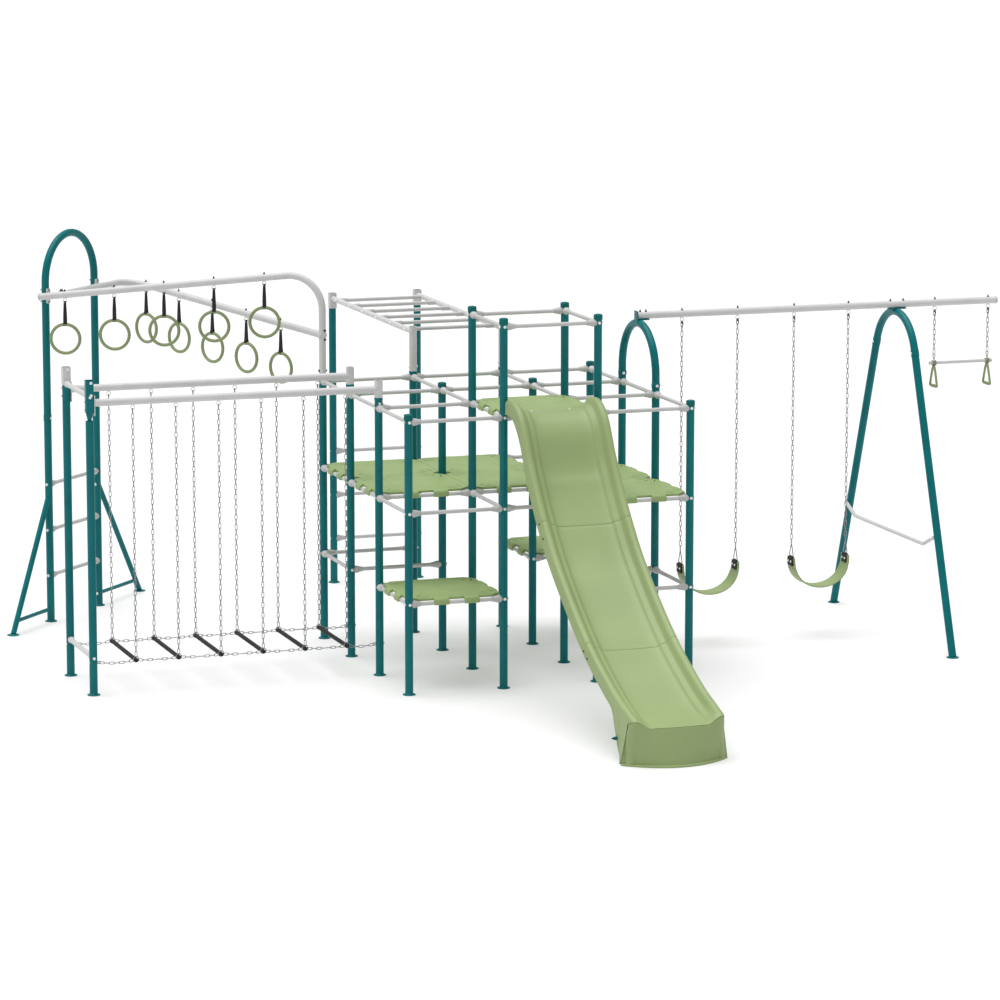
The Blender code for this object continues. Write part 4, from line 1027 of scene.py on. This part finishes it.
def build_slide():
    upper, lower = SLIDE_SEAMS
    spans = {"slide_top": (RIM[0][0], upper + SEAM_GAP), "slide_middle": (upper, lower + SEAM_GAP),
             "slide_bottom": (lower, SLIDE_FRONT)}
    for node, (first, last) in spans.items():
        batch = Batch(f"{node}_shell", nodes=(node,))
        places = [(y, 0.0) for y in stations(first, last)]
        if node != "slide_top":
            # each piece starts with a short tongue under the one above it
            lap = [(first + 0.006, 0.0045), (first + 0.001, 0.0045)]
            places = lap + [(first - shift, pull) for shift, pull in CUT_EDGE] + places[1:]
        if node != "slide_bottom":
            # the open end of the upper piece is hollow, so that it closes over the tongue
            hollow = [(last + 0.012, 0.0050)]
            places = places[:-1] + [(last + shift, pull) for shift, pull in reversed(CUT_EDGE)] + hollow
        loft(batch("body", GREEN), [slide_loop(y, pull) for y, pull in places])
        if node == "slide_bottom":
            build_slide_front(batch("front", GREEN))
            reach = SLIDE_HALF + 0.018
            centre = Vector((SLIDE_X, at(0, -3.33).y, 0.20 * CELL))
            tube(batch("cross_tube", TEAL), centre - X_AXIS * reach, centre + X_AXIS * reach, 0.0105, 20)
            for side in (-1, 1):
                nut(batch("nuts", DARK), centre + X_AXIS * side * reach, X_AXIS * side, SMALL_NUT_R)
        batch.done()
    bolts = Batch("slide_fixings")
    for side in (-1, 1):
        for y in (-1.10, -1.22, -2.40, -2.50):
            height = smooth_line(RIM, y) * CELL - 0.072
            spot = Vector((SLIDE_X + side * (SLIDE_HALF - 0.001), at(0, y).y, height))
            bolt(bolts("bolts", DARK), spot, X_AXIS * side, 0.005)
    for x in (-0.123, 0.123):
        spot = Vector((SLIDE_X + x, at(0, -0.08).y, slide_loop(-0.08)[0].z + 0.001))
        bolt(bolts("bolts", BOLT), spot, UP, 0.005)
    bolts.done()


def build_slide_front(bm):
    """The base's front wall: bowed, rounded over the lip at its top, with a thin flange along the ground."""
    rim, depth, _ = slide_levels(SLIDE_FRONT)
    columns = 64
    loops = []
    for n in range(columns + 1):
        angle = math.pi * (n / columns - 0.5)
        x = SLIDE_HALF * math.sin(angle) * (1 + 0.12 * math.cos(angle) ** 2)
        rim_x = x * 1.03
        top = rim - depth + share_of(abs(x), SLIDE_FRONT) * depth + 0.0005
        edge = 0.012
        ledge = nose_face(x, 0, 0.012)
        section = [(rim_x, ledge - 0.018, 0.0), (rim_x, ledge - 0.018, 0.009), (rim_x, ledge - 0.016, 0.011),
                   (x, nose_face(x, 0.013) - 0.003, 0.013)]
        for share in (0.12, 0.25, 0.4, 0.55, 0.7, 0.85):
            z = 0.013 + (top - edge - 0.013) * share
            section.append((x, nose_face(x, z) - 0.001, z))
        for turn in (0, 22.5, 45, 67.5, 90):
            turn = math.radians(turn)
            z = top - edge + edge * math.sin(turn)
            section.append((x, nose_face(x, top - edge) - 0.001 + edge * (1 - math.cos(turn)), z))
        inside = nose_face(x, top - edge) + edge
        section += [(x * 0.97, inside + 0.012, top - 0.004), (x * 0.97, inside + 0.012, 0.0)]
        loops.append([Vector((SLIDE_X + a * flare(c), b, c)) for a, b, c in section])
    loft(bm, loops)


# ---------------------------------------------------------------- swings
SWING_PIVOT = pivot("swing_1_swing")
SWING_BEAM_Z = SWING_PIVOT.z + HOOK_EYE + BEAM_R
A_FRAME_X = middle("swing_a_frame").x
SWING_Y = SWING_PIVOT.y
APEX = SWING_BEAM_Z - BEAM_R - POST_R - TOUCH_GAP
A_FRAME_FEET = (at(0, -0.08).y, at(0, 3.10).y)
A_FRAME_RAKE = 19.5
CROSSBAR = ((2.67, 1.20), (2.42, 1.092), (0.60, 1.092), (0.35, 1.20))


def sleeve(batch, point, way, length=0.045):
    """A slightly wider swaged end where two tubes meet."""
    wide = POST_R + 0.002
    profile = [(POST_R, 0), (wide, 0.001), (wide, length), (POST_R, length + 0.002)]
    turned(batch("sleeves", TEAL), point, way, profile, ROUND_SIDES)


def saddle_nuts(batch, saddle, shifts):
    for shift in shifts:
        nut(batch("nuts", DARK), saddle + X_AXIS * shift + UP * BEAM_R, UP, SMALL_NUT_R)


def build_swing_frames():
    arch = Batch("swing_arch_fine", nodes=("swing_arch",))
    half = CELL / 2
    base = at(3, 1.5)
    spring = APEX - half
    sweep(arch("hoop", TEAL), hoop_path(base, Y_AXIS, spring, half), POST_R, X_AXIS, ROUND_SIDES)
    for i, j in SWING_ARCH_POSTS:
        foot(arch("feet", TEAL), at(i, j))
        sleeve(arch, at(i, j, LOW_TOP), UP, 0.03)
        for way in (-Y_AXIS, X_AXIS):
            bolt(arch("bolts", BOLT), at(i, j, LOW_TOP + 0.016) + way * (POST_R + 0.001), way)
    saddle = Vector((base.x, SWING_Y, SWING_BEAM_Z))
    block(arch("saddle", TEAL), saddle - X_AXIS * 0.020 - UP * 0.005, (0.006, 0.062, 0.072), edge=0.002)
    block(arch("saddle", TEAL), saddle + X_AXIS * 0.022 - UP * 0.0262, (0.085, 0.046, 0.008), edge=0.002)
    saddle_nuts(arch, saddle, (0.006, 0.045))
    arch.done()

    a_frame = Batch("swing_a_frame_fine", nodes=("swing_a_frame",))
    feet = [Vector((A_FRAME_X, y, 0)) for y in A_FRAME_FEET]
    centre = (feet[0] + feet[1]) / 2
    spread = (feet[1] - feet[0]).length / 2
    rake = math.radians(A_FRAME_RAKE)
    bend_r = (spread * math.cos(rake) - APEX * math.sin(rake)) / (1 - math.sin(rake))
    bend_centre = centre + UP * (APEX - bend_r)
    bend = arc(bend_centre, Y_AXIS, UP, bend_r, A_FRAME_RAKE, 180 - A_FRAME_RAKE, 36)
    path = [feet[1] + UP * 0.004, feet[1].lerp(bend[0], 0.5)] + bend
    path += [feet[0].lerp(bend[-1], 0.5), feet[0] + UP * 0.004]
    sweep(a_frame("legs", TEAL), path, POST_R, X_AXIS, ROUND_SIDES)
    for point, end in ((feet[0], bend[-1]), (feet[1], bend[0])):
        foot(a_frame("feet", TEAL), point, 0.018)
        way = (end - point).normalized()
        sleeve(a_frame, end - way * 0.045, way)
        bolt(a_frame("bolts", BOLT), end - way * 0.022 - X_AXIS * (POST_R + 0.001), -X_AXIS)
    saddle = Vector((A_FRAME_X, SWING_Y, SWING_BEAM_Z))
    block(a_frame("saddle", TEAL), saddle - UP * 0.0262, (0.120, 0.046, 0.008), edge=0.002)
    saddle_nuts(a_frame, saddle, (-0.045, 0.045))
    corners = [Vector((A_FRAME_X - 0.030, at(0, y).y, z * CELL)) for y, z in CROSSBAR]
    sweep(a_frame("crossbar", WHITE), rounded(corners, 0.10, 10), RAIL_R, X_AXIS, 20)
    for corner in (corners[0], corners[-1]):
        bolt(a_frame("bolts", BOLT), corner - X_AXIS * RAIL_R, -X_AXIS)
    a_frame.done()

    beam = Batch("swing_beam_fine", nodes=("swing_beam",))
    low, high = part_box("swing_beam")
    start, end = (Vector((x, SWING_Y, SWING_BEAM_Z)) for x in (low.x + 0.003, high.x - 0.010))
    tube(beam("tube", WHITE), start, end, BEAM_R, ROUND_SIDES)
    end_cap(beam("end_cap", WHITE), end - X_AXIS * 0.004, X_AXIS, BEAM_R, 0.009)
    for node in CHAIN_NODES:
        spot = middle(node)
        hanger(beam, Vector((spot.x, SWING_Y, SWING_BEAM_Z - BEAM_R)), BEAM_R)
    beam.done()


CHAIN_NODES = tuple(f"swing_chain_{k}_{side}" for k in (1, 2) for side in ("left", "right"))
CHAIN_NODES += ("trapeze_chain_left", "trapeze_chain_right")
CLAMP_Z = 0.79 * CELL
SEAT_LOW_Z = 0.535 * CELL
SEAT_WIDTH = 0.140
SEAT_T = 0.008
TRIANGLE_H = 0.080
CLAMP_H = 0.060
BELT_TOP = CLAMP_Z + 0.042


def triangle_link(bm, apex, base_z, half_width, wire=0.0032):
    """A wire triangle under a chain, in the plane across the beam."""
    base = Vector((apex.x, apex.y, base_z))
    corners = [apex, base - Y_AXIS * half_width, base + Y_AXIS * half_width]
    sweep(bm, rounded(corners, 0.006, 6, cyclic=True), wire, X_AXIS, 10, cyclic=True)


def snap_link(bm, eye):
    """The quick link between a hanger's eye and the first chain link."""
    path = arc(eye - UP * 0.010, X_AXIS, UP, 0.0062, 0, 180, 8)
    path += arc(eye - UP * 0.036, -X_AXIS, -UP, 0.0062, 0, 180, 8)
    sweep(bm, path, 0.0027, Y_AXIS, 8, cyclic=True)
    turned(bm, eye - UP * 0.030 + X_AXIS * 0.0062, UP, [(0.0042, 0), (0.0042, 0.012)], 6)


def build_swings():
    clamp_top = CLAMP_Z + CLAMP_H - 0.012
    for k in (1, 2):
        sides = [middle(f"swing_chain_{k}_{side}").x for side in ("left", "right")]
        for side, x in zip(("left", "right"), sides):
            node = f"swing_chain_{k}_{side}"
            batch = Batch(f"{node}_fine", f"swing_{k}", (node,))
            eye = Vector((x, SWING_Y, SWING_PIVOT.z))
            snap_link(batch("snap_link", DARK), eye)
            knee = Vector((x, SWING_Y, clamp_top + TRIANGLE_H))
            chain(batch("chain", ZINC), eye - UP * SWING_CHAIN_START, knee + UP * 0.002, across=X_AXIS)
            triangle_link(batch("triangle", ZINC), knee + UP * 0.010, clamp_top + 0.004, 0.034)
            batch.done()
        build_seat(k, *sides)


def build_seat(k, left, right):
    """Belt seat: a hanging strip with thick beaded edges, held in black clamps with two bolts each."""
    batch = Batch(f"swing_seat_{k}_fine", f"swing_{k}", (f"swing_seat_{k}",))
    steps = 44
    line = []
    for n in range(steps + 1):
        angle = math.pi * n / steps
        x = (left + right) / 2 - (right - left) / 2 * math.cos(angle)
        line.append(Vector((x, SWING_Y, BELT_TOP - (BELT_TOP - SEAT_LOW_Z) * math.sin(angle) ** 0.8)))
    w, t = SEAT_WIDTH / 2, SEAT_T / 2
    outline = [(-w, 0), (-w + 0.001, t * 0.9), (-w + 0.006, t * 1.25), (-w + 0.012, t * 0.85), (0, t * 0.75),
               (w - 0.012, t * 0.85), (w - 0.006, t * 1.25), (w - 0.001, t * 0.9), (w, 0),
               (w - 0.002, -t * 0.8), (w - 0.008, -t), (0, -t), (-w + 0.008, -t), (-w + 0.002, -t * 0.8)]
    loops = []
    for n, point in enumerate(line):
        before, after = line[max(n - 1, 0)], line[min(n + 1, steps)]
        way = (after - before).normalized()
        out = Y_AXIS.cross(way)
        if out.z < 0 and abs(way.x) > 0.2:
            out = -out
        share = abs(2 * n / steps - 1)
        narrow = 1.0 - 0.12 * share ** 6
        loops.append([point + Y_AXIS * y * narrow + out * z for y, z in outline])
    loft(batch("belt", GREEN), loops)
    for x in (left, right):
        inward = X_AXIS if x == left else -X_AXIS
        centre = Vector((x, SWING_Y, CLAMP_Z + CLAMP_H / 2 - 0.012))
        loops = []
        for z, half_y, half_x in ((-0.030, 0.038, 0.010), (-0.027, 0.041, 0.0115), (0.010, 0.040, 0.0115),
                                  (0.024, 0.036, 0.0100), (0.030, 0.032, 0.0080)):
            loops.append([centre + UP * z + X_AXIS * a * half_x + Y_AXIS * b * half_y
                          for a, b in ((-0.7, -1), (0.7, -1), (1, -0.92), (1, 0.92), (0.7, 1), (-0.7, 1),
                                       (-1, 0.92), (-1, -0.92))])
        loft(batch("clamps", RUBBER), loops)
        for y in (-0.022, 0.022):
            for way in (-inward, inward):
                bolt(batch("rivets", BOLT), centre + Y_AXIS * y + way * 0.0115, way, 0.0050)
    batch.done()


def build_trapeze():
    bar_z = middle("trapeze_bar").z
    low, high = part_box("trapeze_bar")
    bar = Batch("trapeze_bar_fine", "trapeze", ("trapeze_bar",))
    start, end = Vector((low.x + 0.004, SWING_Y, bar_z)), Vector((high.x - 0.004, SWING_Y, bar_z))
    tube(bar("tube", WHITE), start, end, 0.0105, 24)
    for spot, way in ((start, -X_AXIS), (end, X_AXIS)):
        profile = [(0.012, 0), (0.012, 0.008), (0.009, 0.010), (0, 0.0105)]
        turned(bar("caps", WHITE), spot - way * 0.006, way, profile, 24)
    bar.done()
    for side in ("left", "right"):
        node = f"trapeze_chain_{side}"
        x = middle(node).x
        batch = Batch(f"{node}_fine", "trapeze", (node,))
        eye = Vector((x, SWING_Y, SWING_PIVOT.z))
        snap_link(batch("snap_link", DARK), eye)
        top = Vector((x, SWING_Y, bar_z + 0.058))
        chain(batch("chain", ZINC), eye - UP * SWING_CHAIN_START, top + UP * 0.002, across=X_AXIS)
        # a heart-shaped shackle, wide above and closed round the bar below
        corners = [top + Y_AXIS * 0.020, top - Y_AXIS * 0.020, Vector((x, SWING_Y, bar_z + 0.010))]
        outline = rounded(corners, 0.007, 6, cyclic=True)
        sweep(batch("shackle", ZINC), outline, 0.0030, X_AXIS, 10, cyclic=True)
        wire_ring(batch("shackle", ZINC), Vector((x, SWING_Y, bar_z)), Y_AXIS, UP, 0.0138, 20, 0.0030, X_AXIS)
        batch.done()
        build_handle(side, x, bar_z)


def build_handle(side, x, bar_z):
    """A moulded triangular grip that hangs from the bar by a wire loop."""
    node = f"trapeze_handle_{side}"
    batch = Batch(f"{node}_fine", f"handle_{side}", (node,))
    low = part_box(node)[0].z + 0.0085
    for shift in (-0.010, 0.010):
        spot = Vector((x + shift, SWING_Y, bar_z))
        wire_ring(batch("collars", RING_GREEN), spot, Y_AXIS, UP, 0.0150, 20, 0.0034, X_AXIS)
    base = Vector((x, SWING_Y, low))
    neck = Vector((x, SWING_Y, bar_z - 0.020))
    rise = neck.z - low
    path = [neck + Y_AXIS * 0.006]
    for share in (0.15, 0.35, 0.55, 0.75, 0.90):
        path.append(base + UP * rise * (1 - share) + Y_AXIS * (0.006 + 0.049 * share ** 0.72))
    path += rounded([base + UP * rise * 0.05 + Y_AXIS * 0.055, base + Y_AXIS * 0.055, base], 0.004, 5)[:-1]
    path += [Vector((x, 2 * SWING_Y - p.y, p.z)) for p in reversed(path)]
    sweep(batch("frame", RING_GREEN), path, 0.0076, X_AXIS, 16, cyclic=True)
    profile = [(0.0078, 0.0)]
    for n in range(8):
        s = 0.004 + n * 0.0092
        profile += [(0.0084, s), (0.0105, s + 0.002), (0.0105, s + 0.006), (0.0084, s + 0.008)]
    profile.append((0.0078, 0.082))
    turned(batch("grip", RING_GREEN), base - Y_AXIS * 0.041, Y_AXIS, profile, 20)
    batch.done()


# ---------------------------------------------------------------- camera, floor and light
CAMERA_PLACE = (-13.1154, -41.6356, 9.4961)     # in cells from the first post, on the ground
CAMERA_PITCH, CAMERA_YAW = 80.232, -18.68       # degrees
CAMERA_LENS = 160.13
FLOOR_TONE, FLOOR_GLOW = 0.52, 0.34     # the floor is a lit sweep, so that shadows stay faint
FLOOR_HALF = 120.0
SKY_STRENGTH = 0.50
SUN_STRENGTH, SUN_SPREAD, SUN_WAY = 3.05, 60, (0.16, -0.10, -1.0)


def build_stage():
    data = bpy.data.cameras.new("camera")
    data.lens = CAMERA_LENS
    data.clip_end = 200
    camera = bpy.data.objects.new("camera", data)
    camera.location = at(CAMERA_PLACE[0], CAMERA_PLACE[1], CAMERA_PLACE[2] * CELL)
    camera.rotation_euler = (math.radians(CAMERA_PITCH), 0, math.radians(CAMERA_YAW))
    bpy.context.scene.collection.objects.link(camera)
    bpy.context.scene.camera = camera

    material = bpy.data.materials.new("floor")
    material.use_nodes = True
    shader = material.node_tree.nodes["Principled BSDF"]
    shader.inputs["Base Color"].default_value = (FLOOR_TONE, FLOOR_TONE, FLOOR_TONE, 1)
    shader.inputs["Roughness"].default_value = 0.75
    shader.inputs["Emission Color"].default_value = (1, 1, 1, 1)
    shader.inputs["Emission Strength"].default_value = FLOOR_GLOW
    bm = bmesh.new()
    bmesh.ops.create_grid(bm, x_segments=1, y_segments=1, size=FLOOR_HALF)
    mesh = bpy.data.meshes.new("floor")
    bm.to_mesh(mesh)
    bm.free()
    mesh.materials.append(material)
    floor = bpy.data.objects.new("floor", mesh)
    floor.location.z = -0.0005
    bpy.context.scene.collection.objects.link(floor)

    world = bpy.data.worlds.new("studio")
    bpy.context.scene.world = world
    world.use_nodes = True
    background = world.node_tree.nodes["Background"]
    background.inputs["Color"].default_value = (1, 1, 1, 1)
    background.inputs["Strength"].default_value = SKY_STRENGTH
    sun = bpy.data.lights.new("softbox", "SUN")
    sun.energy = SUN_STRENGTH
    sun.angle = math.radians(SUN_SPREAD)
    lamp = bpy.data.objects.new("softbox", sun)
    lamp.rotation_euler = Vector(SUN_WAY).to_track_quat("-Z", "Y").to_euler()
    bpy.context.scene.collection.objects.link(lamp)
    bpy.context.scene.view_settings.view_transform = "Standard"


build_climber()
build_decks()
build_monkey_bars()
build_bridge()
build_ring_arch()
build_ring_rails()
build_rings()
build_slide()
build_swing_frames()
build_swings()
build_trapeze()
build_stage()
